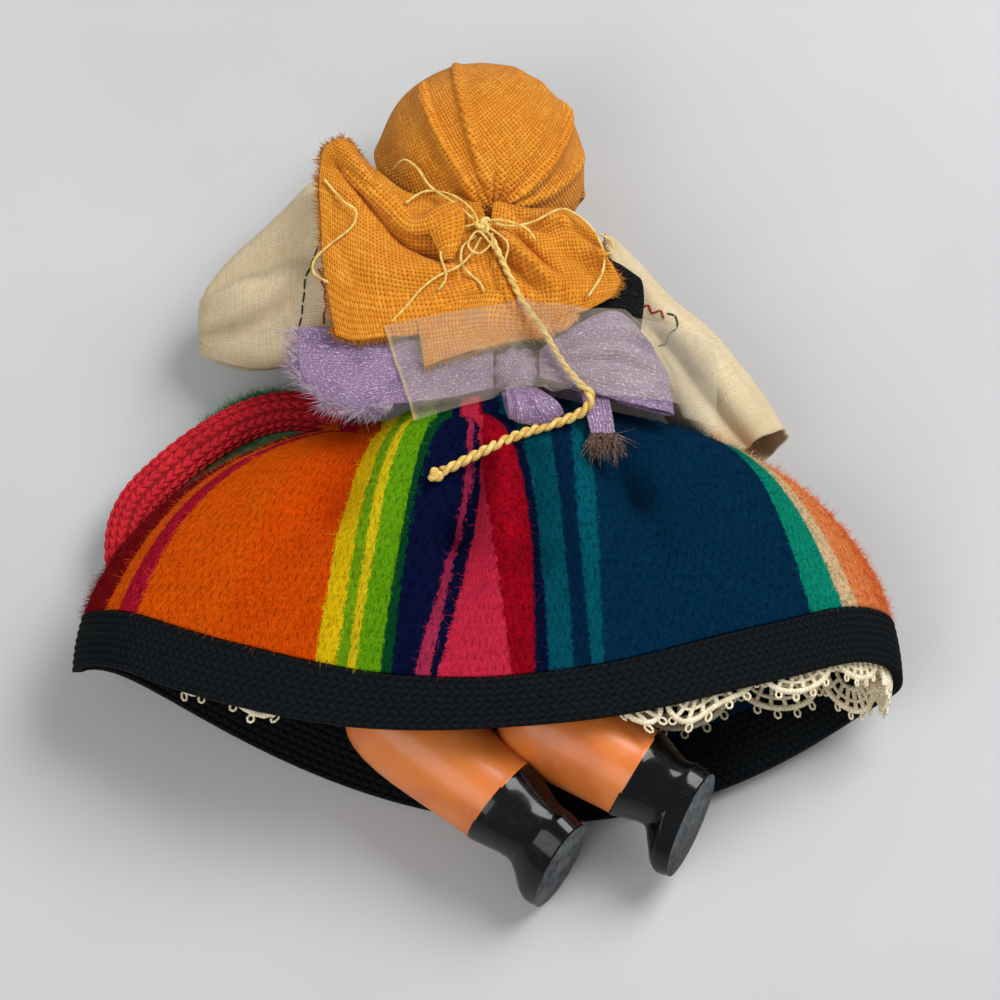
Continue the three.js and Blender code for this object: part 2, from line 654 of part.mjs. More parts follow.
const sashLeft = knotCentre.x - 3.3 - seatGap;
const tailTop = [
  V(sashLeft, 13.2, 28.6), V(-9, 14.4, 28.8), V(-19.5, 14.6, 28.6), V(-26, 16.2, 28), V(-31.3, 17.6, 27.6),
];
const tailLow = [
  V(sashLeft, 7.2, 28.6), V(-9, 4.6, 29), V(-15.4, 3.4, 29.6), V(-22, 2.6, 29.4), V(-26.5, 2.2, 29),
  V(-31.5, 5, 28),
];
const tailGrid = railGrid([tailTop, tailLow], 6, 13);
const tailUnder = ['skirt', 'sash_band', 'vest'];
piece('sash_left_tail', cloth(laidOver(tailGrid, tailUnder, ribbonCloth), ribbonCloth), 0xa893c8, 0.4);

const loopStart = knotCentre.x + 3.3 + seatGap;
const loopTop = [V(loopStart, 12.4, 28.7), V(12, 16.4, 28.6), V(18, 18.6, 27.8), V(22.5, 15, 27),
  V(23.4, 14.7, 27.9), V(18.2, 18.6, 29.2), V(12, 16.8, 30), V(loopStart, 12.6, 30)];
const loopLow = [V(loopStart, 8.4, 28.7), V(12, 5.8, 29), V(19, 4.4, 28.2), V(25.2, 4.3, 27.1),
  V(26.1, 4.3, 28), V(19, 4.3, 29.5), V(12, 5.6, 30.4), V(loopStart, 8.2, 30)];
piece('sash_right_loop', cloth(railGrid([loopTop, loopLow], 4, 20), ribbonCloth), 0xa893c8, 0.4);

const puffTop = knotCentre.y - 3.6 - seatGap;
const puffLeft = [
  V(0.2, puffTop, 29.6), V(0.6, 3.2, 29.9), V(1.2, 1.4, 30.8), V(1, 3.4, 32), V(0.6, puffTop, 31.2),
];
const puffRight = [
  V(5.6, puffTop, 29.6), V(8.4, 3.6, 29.9), V(9, 2.6, 30.8), V(8.4, 3.8, 32), V(5.4, puffTop, 31.2),
];
piece('sash_lower_loop', cloth(railGrid([puffLeft, puffRight], 5, 14), ribbonCloth), 0xa893c8, 0.4);

const shortLeft = [V(12.8, 3.4, 29), V(13.8, 1, 29), V(14.4, -1.6, 29), V(15.2, -5, 29)];
const shortRight = [V(16.6, 3.4, 29), V(17.6, 1, 29), V(18.2, -1.6, 29), V(19.6, -5, 29)];
const shortGrid = laidOver(railGrid([shortLeft, shortRight], 4, 6), ['skirt'], ribbonCloth);
piece('sash_short_tail', cloth(shortGrid, ribbonCloth), 0xa893c8, 0.4);

// Headscarf: a cap over the head, gathered at the nape, with two loose ends and a back point
const napeDirection = V(0.11, -0.78, 0.61).normalize();
const scarfFolds = [
  { crown: V(-12.4, 61, 30), height: 1.5, width: 1.6 },
  { crown: V(-6, 66, 26), height: 1.1, width: 1.5 },
  { crown: V(11, 60, 25), height: 1.3, width: 1.7 },
  { crown: V(2.5, 66, 24), height: 0.6, width: 1.6 },
  { crown: V(-19, 54, 20), height: 0.9, width: 1.8 },
];
function foldLift(direction) {
  const reach = direction.angleTo(napeDirection);
  return scarfFolds.reduce((sum, { crown, height, width }) => {
    const towards = crown.clone().sub(headCentre).normalize();
    const plane = napeDirection.clone().cross(towards).normalize();
    const sameSide = direction.clone().sub(napeDirection).dot(towards.clone().sub(napeDirection)) > 0;
    const aside = (direction.dot(plane) * headHalf.x) / width;
    const end = towards.angleTo(napeDirection) * 1.15;
    const rise = THREE.MathUtils.smoothstep(reach, 0.12, 0.4);
    const fade = 1 - THREE.MathUtils.smoothstep(reach, end * 0.75, end);
    return sum + (sameSide ? height * Math.exp(-aside * aside) * rise * fade : 0);
  }, 0);
}
function capShape(grow, across, down) {
  const side = V(1, 0, 0).addScaledVector(napeDirection, -napeDirection.x).normalize();
  const up = napeDirection.clone().cross(side);
  const rings = Array.from({ length: down }, (_, i) => {
    const reach = Math.PI * mix(0.015, 0.985, i / (down - 1));
    return Array.from({ length: across }, (__, j) => {
      const turn = (2 * Math.PI * j) / across;
      const direction = napeDirection.clone().multiplyScalar(Math.cos(reach))
        .addScaledVector(side, Math.sin(reach) * Math.cos(turn))
        .addScaledVector(up, Math.sin(reach) * Math.sin(turn));
      const half = grown(headHalf, grow + foldLift(direction));
      return headCentre.clone().add(direction.multiply(half));
    });
  });
  return solid(loft(rings));
}
const laidUnder = [
  'vest', 'blouse', 'sash_band', 'sash_knot', 'sash_left_tail', 'sash_right_loop', 'left_sleeve',
];
function scarfEnd(rails, rows, columns, raised = 0) {
  return solid(cloth(laidOver(railGrid(rails, rows, columns), laidUnder, scarfCloth + raised), scarfCloth));
}
const leftEnd = [
  [V(-3.5, 40, 29.2), V(-9, 38.8, 29.4), V(-15.6, 37.4, 31), V(-20.5, 43, 32.4), V(-25, 47.2, 33.2)],
  [V(-2.5, 35.5, 28.8), V(-9, 34, 30), V(-16, 33, 31.4), V(-22, 36, 32.6), V(-28.5, 41.2, 32.8)],
  [V(-1, 29, 29.4), V(-8, 27, 30), V(-15, 25.5, 30.4), V(-21, 26, 31.2), V(-27.4, 28, 31.6)],
  [V(1, 22, 29), V(-6, 17, 29.4), V(-11.8, 9.8, 29.6), V(-17, 17.3, 29.6), V(-21, 17, 30), V(-25, 15.2, 30.4)],
];
const rightEnd = [
  [V(-1, 39.4, 28.6), V(5, 37.4, 29.2), V(9.5, 36.8, 29.6), V(12, 35.4, 29.2)],
  [V(-1.5, 32, 29.2), V(7, 30.4, 30.2), V(14.5, 32, 29.2)],
  [V(-1, 25, 29.6), V(8, 25, 30), V(15, 26, 28.8), V(18.2, 26, 28)],
  [V(0, 19.5, 28.8), V(7, 18.5, 29.4), V(12, 17.8, 29), V(17.4, 22.7, 28)],
];
const backPoint = [
  [V(-14, 22, 30.2), V(0, 23, 29.8), V(12.5, 19, 29.4)],
  [V(-12.5, 15, 30), V(-1, 16.4, 29.4), V(11, 16.4, 29)],
  [V(-11.8, 9.8, 30), V(-5, 12.4, 29.6), V(2.5, 14.6, 29.4), V(9.3, 15.4, 29.4)],
];
function makeHeadscarf() {
  const outer = capShape(seatGap + scarfCloth, 30, 10);
  const inner = ellipsoid(headCentre, grown(headHalf, seatGap), headAcross, headDown);
  const faceTop = V(headX, headY - 2, headZ - headHalf.z);
  const face = ellipsoid(faceTop, V(headHalf.x - 2.6, headHalf.y + 0.5, 12.5), 18, 10);
  const clothes = solid(loft(torsoRings(outerEase, torsoSides)));
  const neck = solid(loft([ring(V(headX / 2, 28, bodyZ - 1), V(9.5, 0, 0), V(0, 0, 9.4), 20),
    ring(V(headX / 2, 41, bodyZ), V(8.4, 0, 0), V(0, 0, 8.6), 20)]));
  const cap = outer.subtract(inner).subtract(face).subtract(neck);
  const scarf = [scarfEnd(leftEnd, 8, 10), scarfEnd(rightEnd, 6, 8), scarfEnd(backPoint, 4, 9, scarfCloth)]
    .reduce((sum, end) => sum.add(end), cap);
  piece('headscarf', scarf.subtract(inner).subtract(clothes).intersect(aboveTable), 0xe0992c, 0.92);
}
makeHeadscarf();

// Threads: the nape knot, the hanging twisted cord with its knot, and long threads frayed from the kerchief
const napeKnot = V(-2.6, 34, 31.2);
piece('nape_knot', ellipsoid(napeKnot, V(1.3, 1.3, 1), 10, 8), 0xd9a53a, 0.9);
const cordRoute = [
  V(-1.6, 32.6, 30.9), V(0, 28.6, 31.3), V(1.6, 24.8, 31.45), V(3.2, 21.4, 31.35), V(5.2, 17.8, 32),
  V(6.4, 15.7, 33), V(7.8, 13.2, 32.7), V(9.8, 9.9, 32), V(12, 6.8, 32.1), V(14, 4.5, 32), V(13.3, 2.7, 31),
  V(10.8, 1.4, 30.3), V(7.4, 0.2, 30.2), V(3.9, -1.2, 30.8), V(1, -2.6, 31.15), V(-1.6, -4, 31.2),
  V(-4.4, -5.4, 30.95), V(-7.2, -6.8, 30.6), V(-8.9, -7.6, 30.4),
];
piece('twisted_cord', tube(cordRoute, cordRadius, threadSides, cordStep), 0xd9a53a, 0.9);
piece('cord_knot', ellipsoid(V(-10.5, -8.5, 30.5), V(1.5, 1.4, 1.2), 10, 8), 0xd9a53a, 0.9);
const threadRoutes = {
  loose_thread_1: [V(-0.7, 34.4, 30.5), V(0.6, 33.8, 30.6), V(2.7, 33.6, 30.8), V(5.5, 34.3, 31),
    V(9.5, 36.4, 30.85), V(12.1, 35.5, 30.6), V(14.6, 33.2, 30.3), V(16.2, 29.5, 30), V(16, 25.9, 29.9),
    V(13.8, 21.7, 30.8)],
  loose_thread_2: [V(-3.8, 32.4, 30.6), V(-5.8, 30.4, 31), V(-6.1, 27.9, 31), V(-5.2, 26.2, 30.95),
    V(-3.1, 24.1, 30.8), V(-2.5, 22.5, 31.05)],
  loose_thread_3: [V(-3, 32.1, 30.6), V(-4.2, 29.6, 30.95), V(-5.9, 27, 31.9), V(-7.6, 26, 31.6),
    V(-9.7, 25.1, 31.25), V(-12.3, 22.9, 31.3), V(-14.9, 19.6, 31.15), V(-16.9, 17.4, 30.95)],
  loose_thread_4: [V(-17, 45.2, 27.8), V(-15.2, 45.9, 29.7), V(-13.1, 44, 30.4), V(-11, 40.2, 29.9),
    V(-7.5, 37.4, 30.75), V(-5.5, 35.9, 30.6), V(-4.3, 35.1, 30.5)],
  loose_thread_5: [V(-27.7, 40.7, 34), V(-24.7, 37, 33.9), V(-22.6, 35.2, 33.8), V(-23.2, 32.6, 33.5),
    V(-26.3, 30, 33), V(-28.9, 27.6, 32.3), V(-29.1, 25.4, 32), V(-26.8, 23.5, 32.4)],
};
for (const [name, route] of Object.entries(threadRoutes)) {
  piece(name, tube(route, threadRadius, threadSides, threadStep), 0xe6b33c, 0.9);
}

// Clear tape stuck across the back, over scarf, sash and cord, and resting on the right sleeve
const tapeTop = [V(-18.1, 16.5, 29), V(-8, 19, 29.5), V(0.5, 20.6, 30), V(7.8, 20.8, 30), V(13.9, 20, 29),
  V(23.5, 20, 26), V(30.5, 19.4, 23.6), V(34.5, 18.4, 21.6)];
const tapeDown = V(0, -tapeWidth, 0);
const tapeLean = [4.8, 3, 3, 4, 0.4, -1.5, -2, -0.6];
const tapeLow = tapeTop.map((point, i) => point.clone().add(tapeDown).add(V(tapeLean[i], 0, 0)));
const tapeUnder = [
  'blouse', 'vest', 'right_sleeve', 'skirt', 'sash_band', 'sash_knot', 'sash_left_tail', 'sash_right_loop',
  'sash_lower_loop', 'sash_short_tail', 'headscarf', 'twisted_cord', 'loose_thread_1', 'loose_thread_3',
];
const tapeGrid = laidOver(railGrid([tapeTop, tapeLow], 8, 23), tapeUnder, tapeCloth, 1.5);
piece('tape_strip', cloth(tapeGrid, tapeCloth), 0xe8e2c8, 0.3);

const group = new THREE.Group();
for (const mesh of pieces.values()) {
  group.add(mesh);
}

// The origin goes to the middle of the whole doll, on the table
const wholeBox = new THREE.Box3().setFromObject(group);
const wholeMiddle = wholeBox.getCenter(V(0, 0, 0));
for (const mesh of pieces.values()) {
  mesh.geometry.translate(-wholeMiddle.x, -wholeMiddle.y, -wholeBox.min.z);
}

export default group;
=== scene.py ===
import json
import math

import bpy
import numpy as np
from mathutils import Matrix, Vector
from mathutils.bvhtree import BVHTree


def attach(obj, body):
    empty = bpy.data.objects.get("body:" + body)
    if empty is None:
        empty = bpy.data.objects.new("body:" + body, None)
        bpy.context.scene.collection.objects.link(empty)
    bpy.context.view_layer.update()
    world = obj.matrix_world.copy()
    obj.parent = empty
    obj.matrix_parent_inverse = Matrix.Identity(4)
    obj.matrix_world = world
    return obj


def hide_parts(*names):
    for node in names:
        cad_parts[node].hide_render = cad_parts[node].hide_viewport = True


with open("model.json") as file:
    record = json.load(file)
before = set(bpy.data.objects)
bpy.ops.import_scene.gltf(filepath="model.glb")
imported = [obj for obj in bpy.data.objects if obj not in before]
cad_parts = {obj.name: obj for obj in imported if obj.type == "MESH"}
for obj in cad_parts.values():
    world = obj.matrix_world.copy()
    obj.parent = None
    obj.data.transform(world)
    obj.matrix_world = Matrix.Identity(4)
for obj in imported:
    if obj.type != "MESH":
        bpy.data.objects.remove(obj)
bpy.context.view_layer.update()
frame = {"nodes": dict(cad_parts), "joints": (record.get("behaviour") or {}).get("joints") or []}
noise = np.random.default_rng(7)

# Shapes are drawn in millimetres from the doll's own middle line, and moved into the frame as they are made
MM = 0.001
SHOULDER_X, SHOULDER_Y, BODY_Z = 14.4, 33, 15.4


def joint_place(name):
    return next(Vector(j["pos_m"]) for j in frame["joints"] if j["name"] == name)


SHIFT = joint_place("left_shoulder") - Vector((-SHOULDER_X, SHOULDER_Y, BODY_Z)) * MM


def in_frame(points):
    return np.asarray(points, float) * MM + np.array(SHIFT)


def place_of(x, y, z):
    return Vector((x, y, z)) * MM + SHIFT


# Camera
def add_camera(height_angle=68, distance=645, lens=144):
    data = bpy.data.cameras.new("camera")
    data.lens = lens
    data.sensor_width = 36
    camera = bpy.data.objects.new("camera", data)
    bpy.context.scene.collection.objects.link(camera)
    tilt = math.radians(height_angle)
    back = Vector((0, -math.cos(tilt), math.sin(tilt)))
    camera.location = place_of(0, 0, 0) + back * distance * MM
    camera.rotation_euler = back.to_track_quat("Z", "Y").to_euler()
    bpy.context.scene.camera = camera


add_camera()


# Small sums on numbers and arrays
def mix(a, b, t):
    return a + (b - a) * t


def smooth(x, low, high):
    t = np.clip((x - low) / (high - low), 0, 1)
    return t * t * (3 - 2 * t)


def xyz(x, y, z):
    return np.stack(np.broadcast_arrays(x, y, z), axis=-1).astype(float)


def unit(vectors):
    return vectors / np.maximum(np.linalg.norm(vectors, axis=-1, keepdims=True), 1e-9)


def lengths_along(path):
    """How far along its path each point lies."""
    return np.concatenate([[0], np.cumsum(np.linalg.norm(np.diff(path, axis=0), axis=1))])


def through(stops, t):
    """A smooth run through the stops, with t from 0 to 1. Each stop may be one point or one for each t."""
    stops = np.asarray(stops, float)
    last = len(stops) - 1
    place = np.clip(t, 0, 1) * last
    i = np.minimum(place.astype(int), last - 1)
    f = (place - i)[..., None]
    own = np.arange(len(i)) if stops.ndim == 3 else None

    def stop(k):
        k = np.clip(k, 0, last)
        return stops[k] if own is None else stops[k, own]
    a, b, c, d = stop(i - 1), stop(i), stop(i + 1), stop(i + 2)
    return b + 0.5 * f * (c - a + f * (2 * a - 5 * b + 4 * c - d + f * (3 * (b - c) + d - a)))


def between_rails(rails):
    """A surface that runs along each rail with u and from the first rail to the last with v."""
    return lambda u, v: through(np.stack([through(rail, u) for rail in rails]), v)


def normals_of(place, u, v, step=2e-3):
    along = place(np.minimum(u + step, 1), v) - place(np.maximum(u - step, 0), v)
    across = place(u, np.minimum(v + step, 1)) - place(u, np.maximum(v - step, 0))
    return unit(np.cross(along, across))


def creases(u, v, lines, fade=0.55):
    """Height of soft folds, each a line from one (u, v) to another, with its width and height."""
    total = np.zeros_like(u)
    for u0, v0, u1, v1, width, height in lines:
        du, dv = u1 - u0, v1 - v0
        along = np.clip(((u - u0) * du + (v - v0) * dv) / (du * du + dv * dv), 0, 1)
        aside = np.hypot(u - u0 - along * du, v - v0 - along * dv) / width
        total += height * np.exp(-aside ** 2) * (1 - fade * np.abs(2 * along - 1) ** 3)
    return total


# Mesh work
def deselect():
    bpy.ops.object.select_all(action="DESELECT")


def only(piece):
    deselect()
    piece.select_set(True)
    bpy.context.view_layer.objects.active = piece


def read(items, field, width=3, kind=float):
    """One field of every corner, face or loop, in rows where it has more than one number."""
    flat = np.empty(len(items) * width, kind)
    items.foreach_get(field, flat)
    return flat.reshape(-1, width) if width > 1 else flat


def corners(piece):
    return read(piece.data.vertices, "co")


def move_corners(piece, points):
    piece.data.vertices.foreach_set("co", np.asarray(points, float).ravel())
    piece.data.update()


def apply(piece, kind, **settings):
    only(piece)
    modifier = piece.modifiers.new(kind.title(), kind)
    for name, value in settings.items():
        setattr(modifier, name, value)
    bpy.ops.object.modifier_apply(modifier=modifier.name)


def edit(piece, *steps):
    only(piece)
    bpy.ops.object.mode_set(mode="EDIT")
    bpy.ops.mesh.select_all(action="SELECT")
    for step in steps:
        step()
    bpy.ops.object.mode_set(mode="OBJECT")


def merge():
    bpy.ops.mesh.remove_doubles(threshold=2e-6)


def face_out():
    bpy.ops.mesh.normals_make_consistent(inside=False)


def set_chart(mesh, layer, chart):
    """Writes each corner's place in the chart to the loops that use it."""
    loops = read(mesh.loops, "vertex_index", 1, int)
    layer.data.foreach_set("uv", np.asarray(chart, float)[loops].ravel())


def run_lengths(points):
    """Length along the rows of a grid of points, averaged over the grid."""
    return np.linalg.norm(np.diff(points, axis=1), axis=-1).sum(axis=1).mean()


def sheet(name, place, columns, rows, cloth=0.0, chart=None, closed=False):
    """A grid laid at place(u, v), made into cloth or closed up, with a chart in millimetres."""
    deselect()
    bpy.ops.mesh.primitive_grid_add(x_subdivisions=columns, y_subdivisions=rows, size=1)
    piece = bpy.context.object
    piece.name = name
    piece.data.name = name
    flat = corners(piece)
    u, v = np.round(flat[:, 0] + 0.5, 6), np.round(flat[:, 1] + 0.5, 6)
    points = place(u, v)
    if chart is None:
        grid = points.reshape(rows + 1, columns + 1, 3)
        wide, long = run_lengths(grid), run_lengths(grid.transpose(1, 0, 2))
        pattern = np.stack([u * wide, v * long], axis=-1)
    else:
        pattern = chart(u, v, points)
    move_corners(piece, in_frame(points))
    set_chart(piece.data, piece.data.uv_layers[0], pattern)
    edit(piece, merge)
    if closed:
        edit(piece, face_out)
    if cloth:
        apply(piece, "SOLIDIFY", thickness=cloth * MM, offset=0)
    piece.data.shade_smooth()
    return piece


def press(piece, relief):
    """Raises each corner along its normal by relief(chart x, chart y) in millimetres."""
    chart = np.zeros((len(piece.data.vertices), 2))
    chart[read(piece.data.loops, "vertex_index", 1, int)] = read(piece.data.uv_layers[0].data, "uv", 2)
    lift = relief(chart[:, 0], chart[:, 1])
    move_corners(piece, corners(piece) + read(piece.data.vertices, "normal") * lift[:, None] * MM)


def from_rows(name, points, faces, chart):
    """A piece made of points in millimetres, with the faces between them and their places in its chart."""
    mesh = bpy.data.meshes.new(name)
    mesh.from_pydata(in_frame(points).tolist(), [], faces)
    piece = bpy.data.objects.new(name, mesh)
    bpy.context.scene.collection.objects.link(piece)
    set_chart(mesh, mesh.uv_layers.new(name="UVMap"), chart)
    mesh.shade_smooth()
    return piece


def yarn_rows(path, radius, sides):
    """Rings of points round a path."""
    path = np.asarray(path, float)
    along = unit(np.gradient(path, axis=0))
    start = np.array([0.0, 0.0, 1.0]) if abs(along[0][2]) < 0.9 else np.array([1.0, 0.0, 0.0])
    side = unit(np.cross(along[0], start))
    angles = 2 * np.pi * np.arange(sides) / sides
    rings = []
    for i, point in enumerate(path):
        side = unit(side - along[i] * np.dot(side, along[i]))
        up = np.cross(along[i], side)
        r = radius[i] if np.ndim(radius) else radius
        rings.append(point + r * (np.cos(angles)[:, None] * side + np.sin(angles)[:, None] * up))
    return np.array(rings)


def yarns(name, runs, sides=5):
    """One mesh of many round yarns. A run is its path, its radius and its twist's start in the chart."""
    points, faces, chart = [], [], []
    base = 0
    for path, radius, start in runs:
        rings = yarn_rows(path, radius, sides)
        count = len(rings)
        points.append(rings.reshape(-1, 3))
        length = np.repeat(lengths_along(path), sides)
        chart.append(np.stack([np.full(len(length), start), length], axis=-1))
        for i in range(count - 1):
            for j in range(sides):
                a, b = base + i * sides + j, base + i * sides + (j + 1) % sides
                faces.append((a, b, b + sides, a + sides))
        faces.append(tuple(base + j for j in reversed(range(sides))))
        faces.append(tuple(base + (count - 1) * sides + j for j in range(sides)))
        base += count * sides
    return from_rows(name, np.concatenate(points), faces, np.concatenate(chart))


HAIR_STEPS = np.array([0, 0.35, 0.7, 1.0])
HAIR_TAPER = np.array([1, 0.95, 0.7, 0.12])
HAIR_FACES = [(i * 3 + j, i * 3 + (j + 1) % 3, i * 3 + 3 + (j + 1) % 3, i * 3 + 3 + j)
              for i in range(3) for j in range(3)] + [(2, 1, 0), (9, 10, 11)]


def hairs(name, roots, runs, lengths, chart, radius, bend):
    """Short loose fibres: each leaves its root along its run, bends at random and thins to its tip."""
    runs = unit(runs)
    count = len(roots)
    sway = unit(noise.normal(size=(count, 3))) * bend
    path = roots[:, None] + lengths[:, None, None] * (
        HAIR_STEPS[None, :, None] * runs[:, None] + (HAIR_STEPS ** 2)[None, :, None] * sway[:, None])
    side = unit(np.cross(runs, noise.normal(size=(count, 3))))
    up = np.cross(runs, side)
    width = radius * HAIR_TAPER
    angles = 2 * np.pi * np.arange(3) / 3
    round_ = np.cos(angles)[None, :, None] * side[:, None] + np.sin(angles)[None, :, None] * up[:, None]
    points = (path[:, :, None] + width[None, :, None, None] * round_[:, None]).reshape(-1, 3)
    faces = [tuple(k * 12 + n for n in face) for k in range(count) for face in HAIR_FACES]
    return from_rows(name, points, faces, np.repeat(chart, 12, axis=0))


def tree_over(pieces):
    """The nearest-hit trees of finished pieces, for laying cloth over them."""
    return [BVHTree.FromPolygons([v.co.copy() for v in p.data.vertices],
                                 [tuple(f.vertices) for f in p.data.polygons]) for p in pieces]


ABOVE_ALL = 90
SETTLE_PASSES = 2


def height_on(tree, x, y):
    """How high the tree's piece stands at a place in the plan, in millimetres, or None beside it."""
    hit = tree.ray_cast(place_of(x, y, ABOVE_ALL), Vector((0, 0, -1)))[0]
    return None if hit is None else (hit.z - SHIFT.z) / MM


def lay_over(points, trees, clear, reach):
    """Lifts points in millimetres so that they clear what is under them, and smooths the lift a little."""
    laid = points.copy()
    rows, columns = points.shape[:2]
    heights = laid[..., 2]
    for i in range(rows):
        for j in range(columns):
            x, y, _ = laid[i, j]
            for dx, dy in ((0, 0), (reach, 0), (-reach, 0), (0, reach), (0, -reach)):
                for tree in trees:
                    under = height_on(tree, x + dx, y + dy)
                    if under is not None:
                        heights[i, j] = max(heights[i, j], under + clear)
    for _ in range(SETTLE_PASSES):
        edged = np.pad(heights, 1, mode="edge")
        near = (edged[:-2, 1:-1] + edged[2:, 1:-1] + edged[1:-1, :-2] + edged[1:-1, 2:]) / 4
        heights[:] = np.maximum(heights, near * 0.6 + heights * 0.4)
    return laid


def laid_sheet(name, place, columns, rows, over, clear, cloth, reach=0.8):
    """A sheet that is first lifted clear of the pieces it lies over."""
    u, v = np.meshgrid(np.linspace(0, 1, columns + 1), np.linspace(0, 1, rows + 1))
    points = place(u.ravel(), v.ravel()).reshape(rows + 1, columns + 1, 3)
    laid = lay_over(points, tree_over(over), clear, reach)
    return sheet(name, lambda a, b: laid[np.rint(b * rows).astype(int), np.rint(a * columns).astype(int)],
                 columns, rows, cloth)


# Node work
def colour(red, green, blue):
    """A colour read as 0 to 255 screen values, as the shader's own numbers."""
    return tuple((c / 255 / 12.92 if c / 255 <= 0.04045 else ((c / 255 + 0.055) / 1.055) ** 2.4)
                 for c in (red, green, blue)) + (1.0,)


class Wiring:
    """Adds nodes to a tree and joins or sets their inputs."""

    def __init__(self, tree):
        self.tree = tree

    def give(self, node, values):
        for key, value in values.items():
            if hasattr(value, "is_output"):
                self.tree.links.new(value, node.inputs[key])
            else:
                node.inputs[key].default_value = value

    def add(self, kind, inputs=None, **settings):
        node = self.tree.nodes.new(kind)
        for name, value in settings.items():
            setattr(node, name, value)
        self.give(node, inputs or {})
        return node

    def sum(self, operation, a, b=0.0, c=0.0):
        return self.add("ShaderNodeMath", {0: a, 1: b, 2: c}, operation=operation).outputs[0]

    def plus(self, a, b):
        return self.sum("ADD", a, b)

    def less(self, a, b):
        return self.sum("SUBTRACT", a, b)

    def times(self, a, b):
        return self.sum("MULTIPLY", a, b)

    def divide(self, a, b):
        return self.sum("DIVIDE", a, b)

    def floor(self, a):
        return self.sum("FLOOR", a)

    def ridges(self, a):
        """Rounded ridges, with a groove at each whole number."""
        return self.sum("ABSOLUTE", self.sum("SINE", self.times(a, math.pi)))

    def from_middle(self, a):
        """How far a is from half way between two whole numbers."""
        return self.sum("ABSOLUTE", self.less(self.sum("FRACT", a), 0.5))

    def vector(self, operation, a, b):
        return self.add("ShaderNodeVectorMath", {0: a, 1: b}, operation=operation).outputs[0]

    def split(self, vector):
        return self.add("ShaderNodeSeparateXYZ", {0: vector}).outputs

    def join(self, x, y, z=0.0):
        return self.add("ShaderNodeCombineXYZ", {0: x, 1: y, 2: z}).outputs[0]

    def speck(self, vector, scale, detail=2.0, rough=0.5):
        inputs = {"Vector": vector, "Scale": scale, "Detail": detail, "Roughness": rough}
        return self.add("ShaderNodeTexNoise", inputs).outputs["Fac"]

    def step(self, value, low, high, start=0.0, end=1.0):
        inputs = {0: value, 1: low, 2: high, 3: start, 4: end}
        return self.add("ShaderNodeMapRange", inputs, interpolation_type="SMOOTHSTEP").outputs[0]

    def blend(self, share, a, b, kind="MIX"):
        node = self.add("ShaderNodeMix", data_type="RGBA", blend_type=kind)
        self.give(node, {0: share, 6: a, 7: b})
        return node.outputs[2]

    def bump(self, height, strength, depth):
        """Relief with its depth in millimetres."""
        inputs = {"Height": height, "Strength": strength, "Distance": depth * MM}
        return self.add("ShaderNodeBump", inputs).outputs[0]

    def group(self, tree, **inputs):
        return self.add("ShaderNodeGroup", inputs, node_tree=tree).outputs


class Effect(Wiring):
    """A node group that several materials share, with its named inputs and outputs."""

    def __init__(self, name, inputs, outputs):
        super().__init__(bpy.data.node_groups.new(name, "ShaderNodeTree"))
        for socket, kind in inputs.items():
            self.tree.interface.new_socket(socket, in_out="INPUT", socket_type=f"NodeSocket{kind}")
        for socket in outputs:
            self.tree.interface.new_socket(socket, in_out="OUTPUT", socket_type="NodeSocketFloat")
        self.given = self.add("NodeGroupInput").outputs
        self.out = self.add("NodeGroupOutput")

    def put_out(self, **values):
        self.give(self.out, values)
        return self.tree


def plain_weave():
    """Threads over and under each other: height, the dark gaps between them, and each thread's own tint."""
    w = Effect("plain weave", {"Cloth": "Vector", "Pitch": "Float", "Slack": "Float"},
               ["Height", "Gaps", "Tint"])
    cloth, pitch = w.given["Cloth"], w.given["Pitch"]
    warp = w.add("ShaderNodeTexNoise", {"Vector": cloth, "Scale": 0.35, "Detail": 2.0}).outputs["Color"]
    drift = w.vector("SUBTRACT", warp, (0.5, 0.5, 0.5))
    scaled = {0: drift, "Scale": w.given["Slack"]}
    slack = w.add("ShaderNodeVectorMath", scaled, operation="SCALE").outputs[0]
    x, y, _ = w.split(w.vector("ADD", cloth, slack))
    u, v = w.divide(x, pitch), w.divide(y, pitch)
    su = w.sum("SINE", w.times(u, math.pi))
    sv = w.sum("SINE", w.times(v, math.pi))
    warp_up = w.sum("MULTIPLY_ADD", w.times(w.sum("SIGN", su), sv), 0.45, w.sum("ABSOLUTE", su))
    weft_up = w.sum("MULTIPLY_ADD", w.times(w.sum("SIGN", sv), su), -0.45, w.sum("ABSOLUTE", sv))
    height = w.sum("MAXIMUM", warp_up, weft_up)
    over = w.sum("GREATER_THAN", warp_up, weft_up)
    long_warp = w.speck(w.join(w.floor(u), w.times(v, 0.12)), 1.37, 1.0)
    long_weft = w.speck(w.join(w.times(u, 0.12), w.floor(v), 7.0), 1.37, 1.0)
    tint = w.plus(w.times(over, long_warp), w.times(w.less(1.0, over), long_weft))
    return w.put_out(Height=height, Gaps=w.step(height, 0.75, 0.3), Tint=w.step(tint, 0.25, 0.75))


